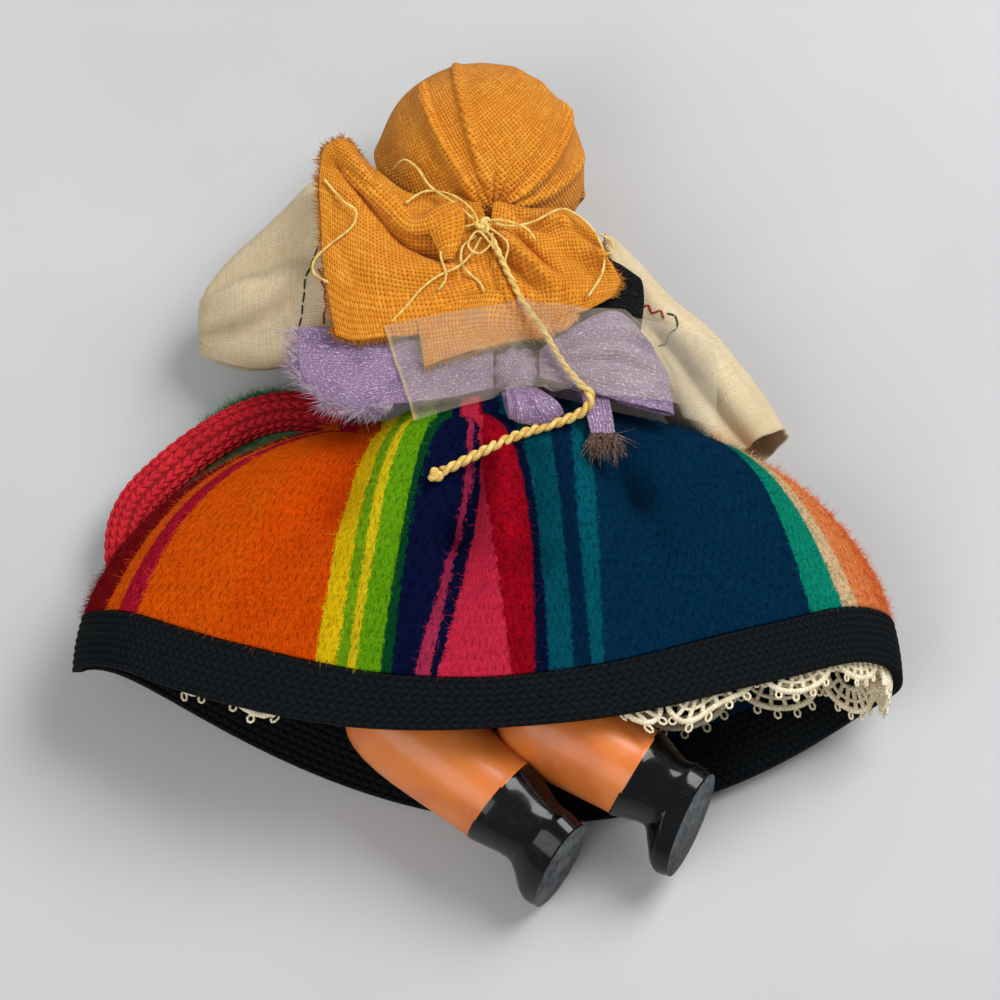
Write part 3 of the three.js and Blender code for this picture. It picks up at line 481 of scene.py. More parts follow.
def wool_nap():
    """Brushed wool: fine fibres along the cloth, and the rows of dark strokes of the weave under them."""
    w = Effect("wool nap", {"Cloth": "Vector"}, ["Height", "Strokes", "Tint"])
    cloth = w.given["Cloth"]
    x, y, _ = w.split(cloth)
    wander = w.times(w.less(w.speck(cloth, 0.6, 2.0), 0.5), 2.0)
    fibre = w.speck(w.join(w.plus(w.times(x, 3.2), wander), w.times(y, 0.8)), 1.6, 4.0, 0.7)
    rows = w.divide(w.plus(y, w.times(wander, 0.3)), 1.9)
    half = w.times(w.sum("MODULO", w.floor(rows), 2.0), 0.5)
    aside = w.from_middle(w.plus(w.divide(x, 1.25), half))
    stroke = w.times(w.step(aside, 0.22, 0.02), w.step(w.from_middle(rows), 0.48, 0.2))
    broken = w.step(w.speck(cloth, 0.9, 3.0, 0.6), 0.36, 0.62)
    tint = w.step(w.speck(cloth, 0.45, 4.0, 0.65), 0.3, 0.7)
    return w.put_out(Height=fibre, Strokes=w.times(stroke, broken), Tint=tint)


def twist_lines():
    """Slanting lines of twisted yarn along a chart in millimetres."""
    w = Effect("yarn twist", {"Cloth": "Vector", "Pitch": "Float", "Slant": "Float"}, ["Height"])
    x, y, _ = w.split(w.given["Cloth"])
    phase = w.divide(w.sum("MULTIPLY_ADD", x, w.given["Slant"], y), w.given["Pitch"])
    fuzz = w.times(w.speck(w.given["Cloth"], 2.5, 3.0), 0.3)
    return w.put_out(Height=w.plus(w.ridges(phase), fuzz))


def handling():
    """Where a surface is a little soiled or rubbed, in places a few millimetres across."""
    w = Effect("handling marks", {"Place": "Vector", "Size": "Float"}, ["Soil", "Rub"])
    scale = w.divide(1.0, w.given["Size"])
    soil = w.speck(w.given["Place"], scale, 4.0, 0.6)
    rub = w.speck(w.given["Place"], w.times(scale, 4.0), 3.0, 0.7)
    return w.put_out(Soil=w.step(soil, 0.42, 0.7), Rub=w.step(rub, 0.45, 0.75))


WEAVE = plain_weave()
NAP = wool_nap()
TWIST = twist_lines()
MARKS = handling()


class Finish(Wiring):
    """A new material, with its surface shader, the piece's chart and the place on the piece."""

    def __init__(self, name, **values):
        self.material = bpy.data.materials.new(name)
        self.material.use_nodes = True
        super().__init__(self.material.node_tree)
        self.surface = self.tree.nodes["Principled BSDF"]
        for key, value in values.items():
            self.surface.inputs[key.replace("_", " ")].default_value = value
        self.chart = self.add("ShaderNodeUVMap", uv_map="UVMap").outputs[0]
        self.place = self.add("ShaderNodeTexCoord").outputs["Object"]

    def marks(self, size):
        """Soil and rub in places that are size metres across."""
        return self.group(MARKS, Place=self.place, Size=size)

    def tint(self, scale, detail, dark, light):
        """Two tints of one colour, mingled finely over the piece."""
        return self.blend(self.step(self.speck(self.place, scale, detail), 0.3, 0.7), dark, light)

    def feed(self, **joined):
        for key, value in joined.items():
            self.tree.links.new(value, self.surface.inputs[key.replace("_", " ")])
        return self.material


def woven(name, light, dark, gap, pitch=0.45, slack=0.5, depth=0.12):
    """Plain woven cotton in two tints, darker between its threads and where it is soiled."""
    w = Finish(name, Roughness=0.9, Specular_IOR_Level=0.12, Sheen_Weight=0.06)
    weave = w.group(WEAVE, Cloth=w.chart, Pitch=pitch, Slack=slack)
    base = w.blend(weave["Tint"], dark, light)
    base = w.blend(w.times(w.marks(0.012)["Soil"], 0.5), base, dark)
    return w.feed(Base_Color=w.blend(w.times(weave["Gaps"], 0.85), base, gap),
                  Normal=w.bump(weave["Height"], 0.75, depth))


def twisted_cotton(name, dark, light, groove, twist, edge, relief, fine, gloss):
    """Yarn in two tints, darker in the grooves of its twist."""
    w = Finish(name, Roughness=0.85, Specular_IOR_Level=gloss)
    lines = w.group(TWIST, Cloth=w.chart, Pitch=twist[0], Slant=twist[1])["Height"]
    return w.feed(Base_Color=w.blend(w.step(lines, *edge), w.tint(*fine, dark, light), groove),
                  Normal=w.bump(lines, *relief))


def dress(piece, material, slot, *stands_for, body="torso"):
    """Gives a piece its material, and says which body it rides on and which nodes it stands for."""
    piece.data.materials.clear()
    piece.data.materials.append(material)
    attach(piece, body)
    if stands_for:
        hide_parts(*stands_for)
    return piece


# Cords: the twisted cord that hangs from the nape, its knots, and the loose threads round the nape
CORD_ROUTE = [
    (-1.6, 32.6, 30.9), (0, 28.6, 31.3), (1.6, 24.8, 31.45), (3.2, 21.4, 31.35), (5.2, 17.8, 32),
    (6.4, 15.7, 33), (7.8, 13.2, 32.7), (9.8, 9.9, 32), (12, 6.8, 32.1), (14, 4.5, 32), (13.3, 2.7, 31),
    (10.8, 1.4, 30.3), (7.4, 0.2, 30.2), (3.9, -1.2, 30.8), (1, -2.6, 31.15), (-1.6, -4, 31.2),
    (-4.4, -5.4, 30.95), (-7.2, -6.8, 30.6), (-8.9, -7.6, 30.4),
]
THREAD_ROUTES = [
    [(-0.7, 34.4, 31.3), (0.6, 33.8, 31.5), (2.7, 33.6, 31.9), (5.5, 34.3, 32.1), (9.5, 36.4, 32),
     (12.1, 35.5, 31.7), (14.6, 33.2, 31.3), (16.2, 29.5, 30.9), (16, 25.9, 30.7), (13.8, 21.7, 31.2)],
    [(-3.8, 32.4, 30.6), (-5.8, 30.4, 31), (-6.1, 27.9, 31), (-5.2, 26.2, 30.95), (-3.1, 24.1, 30.8),
     (-2.5, 22.5, 31.05)],
    [(-3, 32.1, 30.6), (-4.2, 29.6, 30.95), (-5.9, 27, 31.9), (-7.6, 26, 31.6), (-9.7, 25.1, 31.25),
     (-12.3, 22.9, 31.3), (-14.9, 19.6, 31.15), (-16.9, 17.4, 30.95)],
    [(-17, 45.2, 28.4), (-15.2, 45.9, 30.3), (-13.1, 44, 31.2), (-11, 40.2, 32.4), (-7.5, 37.4, 32.6),
     (-5.5, 35.9, 32), (-4.3, 35.1, 31.3)],
    [(-27.7, 40.7, 34), (-24.7, 37, 33.9), (-22.6, 35.2, 33.8), (-23.2, 32.6, 33.5), (-26.3, 30, 33),
     (-28.9, 27.6, 32.3), (-29.1, 25.4, 32), (-26.8, 23.5, 32.4)],
]
NAPE_THREADS = [
    [(-3.6, 34.2, 31.2), (-0.3, 34.6, 31.9), (3.9, 33.2, 32), (5.7, 31.1, 31.4)],
    [(-14.9, 36.8, 33.2), (-11.8, 39.3, 32.4), (-7.7, 38.8, 32.3), (-4.6, 36.6, 31.8), (-3.4, 34.4, 31.3)],
    [(15.7, 32.6, 30.9), (17.4, 31.6, 30.6), (17.9, 29.9, 30.4), (16.6, 29.4, 30.6), (15.9, 30.8, 30.8)],
    [(-4, 34.2, 31.2), (-7.4, 32.4, 31.9), (-9.3, 29, 31.8), (-8.4, 25, 31.7), (-9.6, 22.6, 31.5)],
    [(-1.6, 33.6, 31.1), (1.2, 30.6, 31.7), (0.8, 26.8, 31.7), (2.6, 23.8, 31.6)],
    [(-2.6, 33.4, 31.2), (-1.2, 31, 31.9), (-3.2, 28.8, 31.8), (-5, 30.2, 31.8), (-3.4, 32.6, 31.9),
     (-0.8, 29.4, 32)],
]
THREAD_RADIUS, NAPE_RADIUS = 0.22, 0.19
YARN = twisted_cotton("yellow yarn", colour(214, 172, 84), colour(246, 220, 138), colour(168, 112, 40),
                      (0.3, 0.8), (0.5, 0.1), (0.7, 0.08), (900.0, 3.0), 0.15)


def along_route(route, steps):
    return through(route, np.linspace(0, 1, steps))


def route_in_frame(route, steps):
    return [tuple(point) for point in in_frame(along_route(route, steps))]


def two_ply(name, route, ply, apart, pitch, steps):
    """Two yarns twisted round one route, closer and thinner in its first part."""
    t = np.linspace(0, 1, steps)
    path = through(route, t)
    along = unit(np.gradient(path, axis=0))
    side = unit(np.cross(along, np.array([0.0, 0.0, 1.0])))
    up = np.cross(side, along)
    fuller = smooth(t, 0.38, 0.56)
    runs = []
    for k in range(2):
        angle = 2 * math.pi * lengths_along(path) / pitch + k * math.pi
        offset = np.cos(angle)[:, None] * side + np.sin(angle)[:, None] * up
        line = path + apart * offset * mix(0.55, 1.0, fuller)[:, None]
        runs.append((line, ply * mix(0.72, 1.0, fuller), float(k)))
    return yarns(name, runs, sides=7)


def small_knot(name, centre, size, ply, turn, stands_for):
    """An overhand knot in a yarn, drawn up small."""
    t = np.linspace(0, 2 * math.pi, 70)
    flat = xyz(np.sin(t) + 2 * np.sin(2 * t), np.cos(t) - 2 * np.cos(2 * t), -np.sin(3 * t)) * size / 3
    c, s = math.cos(turn), math.sin(turn)
    turned = flat @ np.array([[c, s, 0], [-s, c, 0], [0, 0, 0.8]]) + np.array(centre)
    return dress(yarns(name, [(turned, ply, 0.0)], sides=7), YARN, "yellow_thread", stands_for)


def loose_thread(name, route, radius, steps, *stands_for):
    """One fine yarn along its route."""
    thread = yarns(name, [(along_route(route, steps), radius, 0.0)], sides=6)
    return dress(thread, YARN, "yellow_thread", *stands_for)


def add_cords():
    """The cord and the longest thread stand alone; the other threads and the nape tie are handed back."""
    plies = two_ply("twisted_cord_plies", CORD_ROUTE, 0.46, 0.4, 3.6, 260)
    cord = dress(plies, YARN, "yellow_thread", "twisted_cord")
    tie = small_knot("nape_tie", (-2.6, 34, 31.2), 1.15, 0.42, 0.3, "nape_knot")
    knot = small_knot("cord_end_knot", (-9.9, -8.2, 30.5), 0.9, 0.44, -0.9, "cord_knot")
    path = route_in_frame(CORD_ROUTE, 90)
    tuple(path[0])
    threads = [loose_thread(f"frayed_thread_{i}", route, THREAD_RADIUS, 60, f"loose_thread_{i}")
               for i, route in enumerate(THREAD_ROUTES, 1)]
    path = route_in_frame(THREAD_ROUTES[0], 60)
    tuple(path[0])
    threads += [loose_thread(f"nape_thread_{i}", route, NAPE_RADIUS, 40)
                for i, route in enumerate(NAPE_THREADS, 1)]
    return threads[1:] + [tie]


short_threads = add_cords()


# Light and floor
def add_lamp(name, place, power, size):
    """A square lamp that looks at the frame's origin."""
    data = bpy.data.lights.new(name, "AREA")
    data.energy = power
    data.size = size
    lamp = bpy.data.objects.new(name, data)
    bpy.context.scene.collection.objects.link(lamp)
    lamp.location = place
    lamp.rotation_euler = Vector(place).to_track_quat("Z", "Y").to_euler()


def add_floor():
    deselect()
    bpy.ops.mesh.primitive_plane_add(size=6)
    floor = bpy.context.object
    floor.name = "floor"
    w = Finish("pale backdrop cloth", Roughness=0.95, Base_Color=colour(190, 191, 192))
    threads = w.speck(w.vector("MULTIPLY", w.place, (1.0, 0.35, 1.0)), 900.0, 2.0)
    base = w.tint(9.0, 3.0, colour(186, 187, 188), colour(194, 195, 196))
    floor.data.materials.append(w.feed(Base_Color=base, Normal=w.bump(threads, 0.12, 0.1)))


def add_light():
    scene = bpy.context.scene
    scene.view_settings.view_transform = "Standard"
    world = bpy.data.worlds.new("studio")
    scene.world = world
    world.use_nodes = True
    background = world.node_tree.nodes["Background"]
    background.inputs["Color"].default_value = (0.97, 0.985, 1.0, 1.0)
    background.inputs["Strength"].default_value = 0.34
    add_lamp("key light", (0.36, 0.26, 0.58), 5.0, 0.42)
    add_lamp("fill light", (-0.34, -0.36, 0.52), 2.1, 0.5)
    add_floor()


add_light()


# The moulded body, and the outline that the clothes round it follow
TORSO = [
    (-23, 2.5, 2.2), (-21.5, 6.5, 5.5), (-17, 11.4, 8.2), (-10, 13.2, 9.3), (-2, 12.16, 8.9), (6, 11.3, 8.5),
    (15.45, 12.2, 8.8), (26.25, 13.4, 8.6), (33, 14.4, 8.6), (35, 12.4, 7.4), (37.5, 7.5, 6), (40, 6, 5.4),
]


# How far aside the body's middle moves, and over what length below the shoulders
TORSO_LEAN, LEAN_LENGTH = 1, 27


def round_torso(low, high, ease, ripple=None):
    """A band of cloth round the body between two heights, with its own ease and fine ripples."""
    heights = np.array([row[0] for row in TORSO], float)

    def place(u, v):
        y = mix(high, low, v)
        turn = 2 * math.pi * u
        lean = TORSO_LEAN * np.clip((SHOULDER_Y - y) / LEAN_LENGTH, 0, 1)
        grow = ease if ripple is None else ease + ripple(u, v)
        wide = np.interp(y, heights, [row[1] for row in TORSO]) + grow
        deep = np.interp(y, heights, [row[2] for row in TORSO]) + grow
        return xyz(lean + wide * np.cos(turn), y, BODY_Z + deep * np.sin(turn))
    return place


HEAD_MIDDLE = (-3.2, 51, 17.6)
FACE_PAINT = [
    # Each place: how far aside and up, half width, half height, soft edge, strength and colour
    (6.8, -4.4, 2.6, 2.2, 2.6, 0.45, (206, 96, 70)), (4.2, 0.6, 1.75, 1.05, 1.35, 1.0, (238, 232, 220)),
    (4.2, 0.5, 0.85, 0.95, 1.35, 1.0, (62, 40, 24)), (4.1, 2.9, 2.0, 0.32, 1.35, 1.0, (70, 44, 26)),
    (0.0, -6.2, 1.7, 0.62, 1.35, 1.0, (178, 44, 44)),
]


def painted_face(w, base):
    """A small plain face and the hair over its brow, painted on the head's front."""
    x, y, z = w.split(w.vector("SUBTRACT", w.place, tuple(place_of(*HEAD_MIDDLE))))
    front = w.step(z, -6 * MM, -10 * MM)
    for at_x, at_y, wide, high, soft, strength, shade in FACE_PAINT:
        dx = w.divide(w.less(w.sum("ABSOLUTE", x) if at_x else x, at_x * MM), wide * MM)
        dy = w.divide(w.less(y, at_y * MM), high * MM)
        far = w.plus(w.times(dx, dx), w.times(dy, dy))
        spot = w.times(w.step(far, soft, 1.0), front)
        base = w.blend(w.times(spot, strength), base, colour(*shade))
    hair = w.step(w.plus(y, w.times(w.speck(w.place, 500.0), 0.0015)), 0.0078, 0.0084)
    return w.blend(w.times(hair, w.step(z, -0.004, -0.006)), base, colour(58, 36, 22))


def moulded_skin(name, light, dark, gloss, face=False):
    """Semi-gloss moulding with soft mottling, and on the head a small painted face."""
    w = Finish(name, Specular_IOR_Level=0.35, Coat_Weight=0.2, Coat_Roughness=0.2)
    marks = w.marks(0.009)
    base = w.blend(marks["Soil"], light, dark)
    base = w.blend(w.times(marks["Rub"], 0.25), base, colour(226, 160, 112))
    if face:
        base = painted_face(w, base)
    return w.feed(Base_Color=base, Roughness=w.step(marks["Rub"], 0, 1, gloss, gloss + 0.14),
                  Normal=w.bump(w.speck(w.place, 420.0, 3.0), 0.12, 0.12))


def dull_rubber():
    w = Finish("dull rubber", Roughness=0.8)
    return w.feed(Base_Color=w.tint(700.0, 3.0, colour(96, 92, 80), colour(140, 134, 116)))


def finish_carried_nodes():
    skin = moulded_skin("body moulding", colour(226, 172, 128), colour(206, 144, 98), 0.38, face=True)
    rubber = dull_rubber()
    kept = dict.fromkeys(("body_front_shell", "body_back_shell", "left_arm", "right_arm"), (skin, "shell"))
    kept.update(dict.fromkeys(("arm_elastic", "leg_elastic"), (rubber, "elastic")))
    for name, (material, slot) in kept.items():
        node = frame["nodes"][name]
        node.data.materials.clear()
        node.data.materials.append(material)


finish_carried_nodes()


# Legs with painted boots
LEGS = {
    # Hip, knee, boot top and sole, how far the foot is turned on the ankle, and how far its sole tips up
    "left_leg": ((-7.5, -16, 14.4), (-16, -42, 13.4), (-0.3, -54.6, 13), (9.9, -63.4, 11.9), 0.5, 0.16),
    "right_leg": ((9.5, -16, 14.4), (7.4, -42.6, 14.6), (20.4, -50.6, 14.3), (30.1, -56.5, 12.8), 0.95, 0.3),
}
THIGH, CALF, BOOT_TOP, FOOT_LONG, FOOT_WIDE = 7.7, 7.9, 7.4, 19, 11
WELT, TOE_AHEAD = 2.6, 2.5
HUB_RADIUS, HUB_LENGTH, HUB_INWARD = 3.2, 10.2, 1.1
SKIN_PART, BOOT_PART, SOLE_PART = 0, 1, 2


def turned_frame(run, turn=0.0):
    """The side and the up of a ring that a limb's run goes through, turned about the run."""
    run = unit(np.asarray(run, float))
    up = np.array([0, 0, -1.0])
    up = unit(up - run * np.dot(up, run))
    side = unit(np.cross(run, up))
    return side * math.cos(turn) + up * math.sin(turn), up * math.cos(turn) - side * math.sin(turn)


def swept(stations, t):
    """Middle, side, up, half depth and half width at each t along the stations."""
    frames = [turned_frame(run, *turn) for _, run, _, _, *turn in stations]
    side, up = (unit(through([pair[k] for pair in frames], t)) for k in (0, 1))
    sizes = through([station[2:4] for station in stations], t)
    return through([station[0] for station in stations], t), side, up, sizes[:, 0], sizes[:, 1]


def leg_stations(hip, knee, boot_top, sole, turn, tip):
    """Centre, run, half depth, half width and turn about the run at each station down the leg."""
    hip, knee, boot_top, sole = (np.array(p, float) for p in (hip, knee, boot_top, sole))
    thigh, shin, boot = knee - hip, boot_top - knee, sole - boot_top
    down = unit(boot)
    under = unit(down + np.array([0, 0, tip]))
    toe = turned_frame(under, turn)[1]
    ankle, welt = boot_top + boot * 0.45, sole - down * WELT
    return [
        (hip + thigh * 0.02, thigh, THIGH - 2.6, THIGH - 3.2, 0),
        (hip + thigh * 0.2, thigh, THIGH - 1.1, THIGH - 1.3, 0),
        (hip + thigh * 0.55, thigh, THIGH, THIGH, 0),
        (knee - thigh * 0.12, thigh, CALF - 0.15, CALF - 0.15, 0),
        (knee + shin * 0.06, unit(thigh) + unit(shin), CALF, CALF + 0.6, 0),
        (knee + shin * 0.5, shin, CALF, CALF, 0),
        (boot_top - shin * 0.05, shin, BOOT_TOP, BOOT_TOP, 0),
        (boot_top + down * 0.9, boot, BOOT_TOP, BOOT_TOP, 0),
        (ankle, boot, BOOT_TOP - 1.2, BOOT_TOP - 1.4, turn * 0.5),
        (mix(ankle, welt, 0.5) + toe * 0.8, boot, 7, 5.3, turn),
        (welt + toe * TOE_AHEAD, under, FOOT_LONG / 2 - 0.4, FOOT_WIDE / 2, turn),
        (sole + toe * TOE_AHEAD, under, FOOT_LONG / 2 - 0.7, FOOT_WIDE / 2 - 0.3, turn),
    ]


def lofted(name, stations, rings, sides):
    """A closed limb: a disc extruded from station to station."""
    middle, side, up, deep, wide = swept(stations, np.linspace(0, 1, rings))
    angle = (2 * np.pi * np.arange(sides) / sides)[:, None]
    deselect()
    bpy.ops.mesh.primitive_circle_add(vertices=sides, radius=0.01, fill_type="NGON")
    limb = bpy.context.object
    limb.name = name
    limb.data.name = name
    bpy.ops.object.mode_set(mode="EDIT")
    bpy.ops.mesh.select_all(action="SELECT")
    for _ in range(rings - 1):
        bpy.ops.mesh.extrude_region_move(TRANSFORM_OT_translate={"value": (0, 0, 0.001)})
    bpy.ops.object.mode_set(mode="OBJECT")
    points = [middle[i] + wide[i] * np.cos(angle) * side[i] + deep[i] * np.sin(angle) * up[i]
              for i in range(rings)]
    move_corners(limb, in_frame(np.concatenate(points)))
    edit(limb, face_out)
    limb.data.shade_smooth()
    return limb


def cross_cylinder(place, radius, length, vertices):
    """A cylinder that lies along x, with its middle at a place in millimetres."""
    deselect()
    bpy.ops.mesh.primitive_cylinder_add(vertices=vertices, radius=radius * MM, depth=length * MM)
    piece = bpy.context.object
    move_corners(piece, corners(piece)[:, [2, 1, 0]] + in_frame(place))
    return piece


def painted_boot():
    """Glossy black paint over the moulding, with small scratches."""
    w = Finish("black boot paint", Specular_IOR_Level=0.12, Coat_Weight=0.42, Coat_Roughness=0.09)
    marks = w.marks(0.006)
    scratch = w.step(w.speck(w.vector("MULTIPLY", w.place, (1.0, 4.0, 1.0)), 900.0, 2.0, 0.7), 0.66, 0.74)
    base = w.blend(marks["Soil"], colour(2, 3, 5), colour(7, 9, 12))
    return w.feed(Base_Color=w.blend(w.times(scratch, 0.4), base, colour(64, 68, 72)),
                  Roughness=w.step(marks["Rub"], 0, 1, 0.2, 0.42),
                  Normal=w.bump(w.speck(w.place, 260.0, 3.0), 0.18, 0.25))


def scuffed_sole():
    w = Finish("scuffed sole", Roughness=0.75)
    grain = w.speck(w.vector("MULTIPLY", w.place, (1.0, 1.0, 0.25)), 1500.0, 4.0, 0.7)
    base = w.blend(w.step(grain, 0.35, 0.7), colour(42, 46, 50), colour(84, 88, 92))
    return w.feed(Base_Color=w.blend(w.times(w.marks(0.005)["Soil"], 0.5), base, colour(120, 122, 120)),
                  Normal=w.bump(grain, 0.4, 0.12))


def paint_leg(leg, boot_top, sole, tip, sole_middle):
    """Gives the boot and the sole their own materials, by where each face is and how it faces."""
    run = unit(np.array(sole, float) - np.array(boot_top, float))
    under = unit(run + np.array([0, 0, tip]))
    faces = leg.data.polygons
    normals, centres = read(faces, "normal"), read(faces, "center")
    past_top = (centres - in_frame(boot_top)) @ run > 0.1 * MM
    at_sole = ((centres - in_frame(sole_middle)) @ under > -0.3 * MM) & (normals @ under > 0.7)
    parts = np.where(at_sole, SOLE_PART, np.where(past_top, BOOT_PART, SKIN_PART))
    faces.foreach_set("material_index", parts)


def add_legs():
    skin = moulded_skin("leg moulding", colour(222, 123, 52), colour(200, 99, 38), 0.36)
    boot, sole = painted_boot(), scuffed_sole()
    for name, (hip, knee, boot_top, sole_end, turn, tip) in LEGS.items():
        stations = leg_stations(hip, knee, boot_top, sole_end, turn, tip)
        leg = dress(lofted(f"{name}_moulding", stations, 60, 48), skin, "celluloid", name, body=name)
        leg.data.materials.append(boot)
        leg.data.materials.append(sole)
        paint_leg(leg, boot_top, sole_end, tip, stations[-1][0])
        x, y, z = hip
        inward = HUB_INWARD if name == "left_leg" else -HUB_INWARD
        hub = cross_cylinder((x + inward, y, z), HUB_RADIUS, HUB_LENGTH, 32)
        hub.name = f"{name}_hub"
        edit(hub, face_out)
        apply(hub, "BEVEL", width=0.4 * MM, segments=2)
        dress(hub, skin, "celluloid", body=name)


add_legs()


# Skirt: a flattened bell, where turn runs round it from its right side and drop from the waist to the hem
WAIST_X, WAIST_Y, WAIST_WIDE, WAIST_DEEP = 1, 6, 15.65, 12.85
HEM_X, HEM_LEFT, HEM_RIGHT = -1, 64.5, 62.6
HEM_BACK_Y, HEM_FRONT_Y = -48, -54.5
HEM_LOW, HEM_HIGH = 0.75, 26.8
BACK_BULGE = 2.2
SKIRT_LENGTH = 54
BRAID_WIDE = 7.6
BRAID_SHARE = BRAID_WIDE / SKIRT_LENGTH
FOLD_LIFT = 1.5
VALLEYS = [
    # Each fold: from and to in the plan, width and height
    (-18.6, 3.5, -26.3, -10.6, 4.2, -2.6), (-26.3, -10.6, -33.3, -19, 4.6, -1.9),
    (-15.5, 1, -21.5, -19, 3.6, 1.3),
    (-2.7, -6.5, -6.9, -17, 2.8, -2.8), (-6.9, -17, -9.9, -30, 3.0, -2.0),
    (-1.2, -2.5, 1.6, -20, 3.4, 1.7),
    (4.6, -4.5, 5.4, -22, 2.6, -1.5), (5.4, -22, 5.6, -36, 2.8, -0.9),
    (17, -3.5, 21, -10, 3.0, -2.4), (21, -10, 25, -20, 3.6, -1.4),
    (11, -4, 13.5, -20, 3.6, 1.1),
    (29, -2, 36, -14, 5, 1.0),
]


def hem_place(turn):
    """The hem's line, bowed at the back and the front, with its left and right corners hanging lower."""
    x = HEM_X + np.where(np.cos(turn) < 0, HEM_LEFT, HEM_RIGHT) * np.cos(turn)
    to_back = (1 + np.sin(turn)) / 2
    back_y = HEM_BACK_Y + 0.0042 * (x + 8) ** 2
    front_y = HEM_FRONT_Y + 0.0056 * (x - 8) ** 2
    corners_down = 5 * np.exp((-np.cos(turn) - 1) / 0.06) + 3 * np.exp((np.cos(turn) - 1) / 0.06)
    rise = (1 + np.sign(np.sin(turn)) * np.abs(np.sin(turn)) ** 0.85) / 2
    return x, mix(front_y, back_y, to_back) - corners_down, mix(HEM_LOW, HEM_HIGH, rise)


def skirt_middle(turn, drop):
    """The middle of the skirt's cloth, which falls from the waist, spreads at its sides and has its folds."""
    hem_x, hem_y, hem_z = hem_place(turn)
    waist_x = WAIST_X + WAIST_WIDE * np.cos(turn)
    waist_z = BODY_Z + WAIST_DEEP * np.sin(turn)
    sideways = np.abs(np.cos(turn)) ** 1.4
    spread = mix(drop, np.sin(drop * np.pi / 2), sideways)
    fall = mix(drop, 1 - np.cos(drop * np.pi / 2), sideways)
    back = np.maximum(np.sin(turn), 0)
    front = np.maximum(-np.sin(turn), 0)
    bulge = BACK_BULGE * np.sin(drop * np.pi) * back
    fold = 0.85 * np.sin(np.minimum(drop, 1) * np.pi * 0.75) * back ** 0.6 * np.cos(
        13 * (turn - np.pi / 2) + 1.8 * np.sin(2 * turn))
    x, y = mix(waist_x, hem_x, spread), mix(WAIST_Y, hem_y, fall)
    z = mix(waist_z, hem_z, mix(drop, drop ** 3, front)) + bulge + fold * 0.5
    lift = FOLD_LIFT * creases(x, y, VALLEYS, fade=0) * smooth(back, 0.1, 0.5)
    lift = lift * (1 - smooth(drop, 0.55, 0.88))
    fine = 0.28 * np.sin(17 * turn + 5 * np.sin(3 * turn)) * np.sin(drop * np.pi) * back
    return xyz(x, y, z + lift + fine)


def skirt_layer(inward):
    """The skirt's surface, or a layer that lies inward of it."""
    def place(turn, drop):
        middle = skirt_middle(turn, drop)
        if not inward:
            return middle
        step = 2e-3
        round_ = skirt_middle(turn + step, drop) - skirt_middle(turn - step, drop)
        down = skirt_middle(turn, drop + step) - skirt_middle(turn, np.maximum(drop - step, 0))
        return middle + inward * unit(np.cross(down, round_))
    return place


def around(layer, top, bottom):
    """A sheet that goes round a layer of the skirt, between two heights that each turn has."""
    return lambda u, v: layer(2 * np.pi * u, mix(top(2 * np.pi * u), bottom(2 * np.pi * u), v))


def level(drop):
    return lambda turn: drop + 0 * turn


# Where the stripes lie across, near the waist, half way down and at the hem, and their place in the chart
STRIPE_RUNS = [
    (-42, -65, -71, -72), (-37, -57.5, -65, -60), (-34.5, -55, -61, -56.5), (-32.5, -52.8, -58.3, -55.2),
    (-20.4, -25.6, -28.6, -28.6), (-17.4, -22.3, -25.1, -24.9), (-15.6, -20.8, -23.3, -23.4),
    (-14.8, -19.8, -22.4, -21.9), (-11.6, -15.8, -18.4, -17.8), (-9.8, -14.8, -16.4, -15.9),
    (-4.6, -8, -12.5, -12.4), (-3.9, -7.2, -10.6, -10.3), (-3.2, -4, -9.2, -9.1), (-2.8, -1.2, 1.3, 1.5),
    (-0.3, 4.3, 4.9, 4.7), (1.4, 5.8, 6.9, 6.8), (7.4, 10, 11, 11.2), (10.4, 11.8, 13.5, 13.6),
    (13.4, 14.8, 15.6, 16.2), (35.5, 45.4, 49.8, 45.4), (37, 49.8, 55.8, 51.4), (38.2, 52.4, 59, 54.4),
    (40.5, 56, 63, 60), (44, 62, 68, 72),
]
STRIPE_SHARES = (0.04, 0.443, 0.81)
STRIPES = [
    # Where each stripe starts across the hem, from the left, and its colour
    (-72, (108, 12, 18)), (-60.3, (204, 84, 8)), (-57.9, (150, 18, 44)), (-55.2, (206, 82, 4)),
    (-42, (202, 74, 2)), (-28.6, (216, 182, 14)), (-24.9, (98, 150, 16)), (-23.4, (206, 184, 24)),
    (-21.9, (88, 152, 14)), (-17.8, (4, 66, 34)), (-15.9, (6, 14, 52)), (-12.4, (160, 44, 84)),
    (-10.3, (6, 14, 52)), (-9.1, (190, 40, 72)), (1.5, (134, 4, 26)), (4.7, (4, 16, 50)),
    (6.8, (2, 76, 98)), (11.2, (2, 34, 66)), (13.6, (2, 80, 102)), (16.2, (2, 42, 74)),
    (45.4, (8, 132, 114)), (51.4, (204, 176, 142)), (54.4, (222, 128, 78)), (60, (214, 112, 58)),
]
STRIPE_EDGE = 72.0
# The plan's y where the stripes start and how far down they run, and the y that the chart's rows start from
STRIPE_TOP, STRIPE_FALL, CHART_TOP = 2.5, 50.5, 152


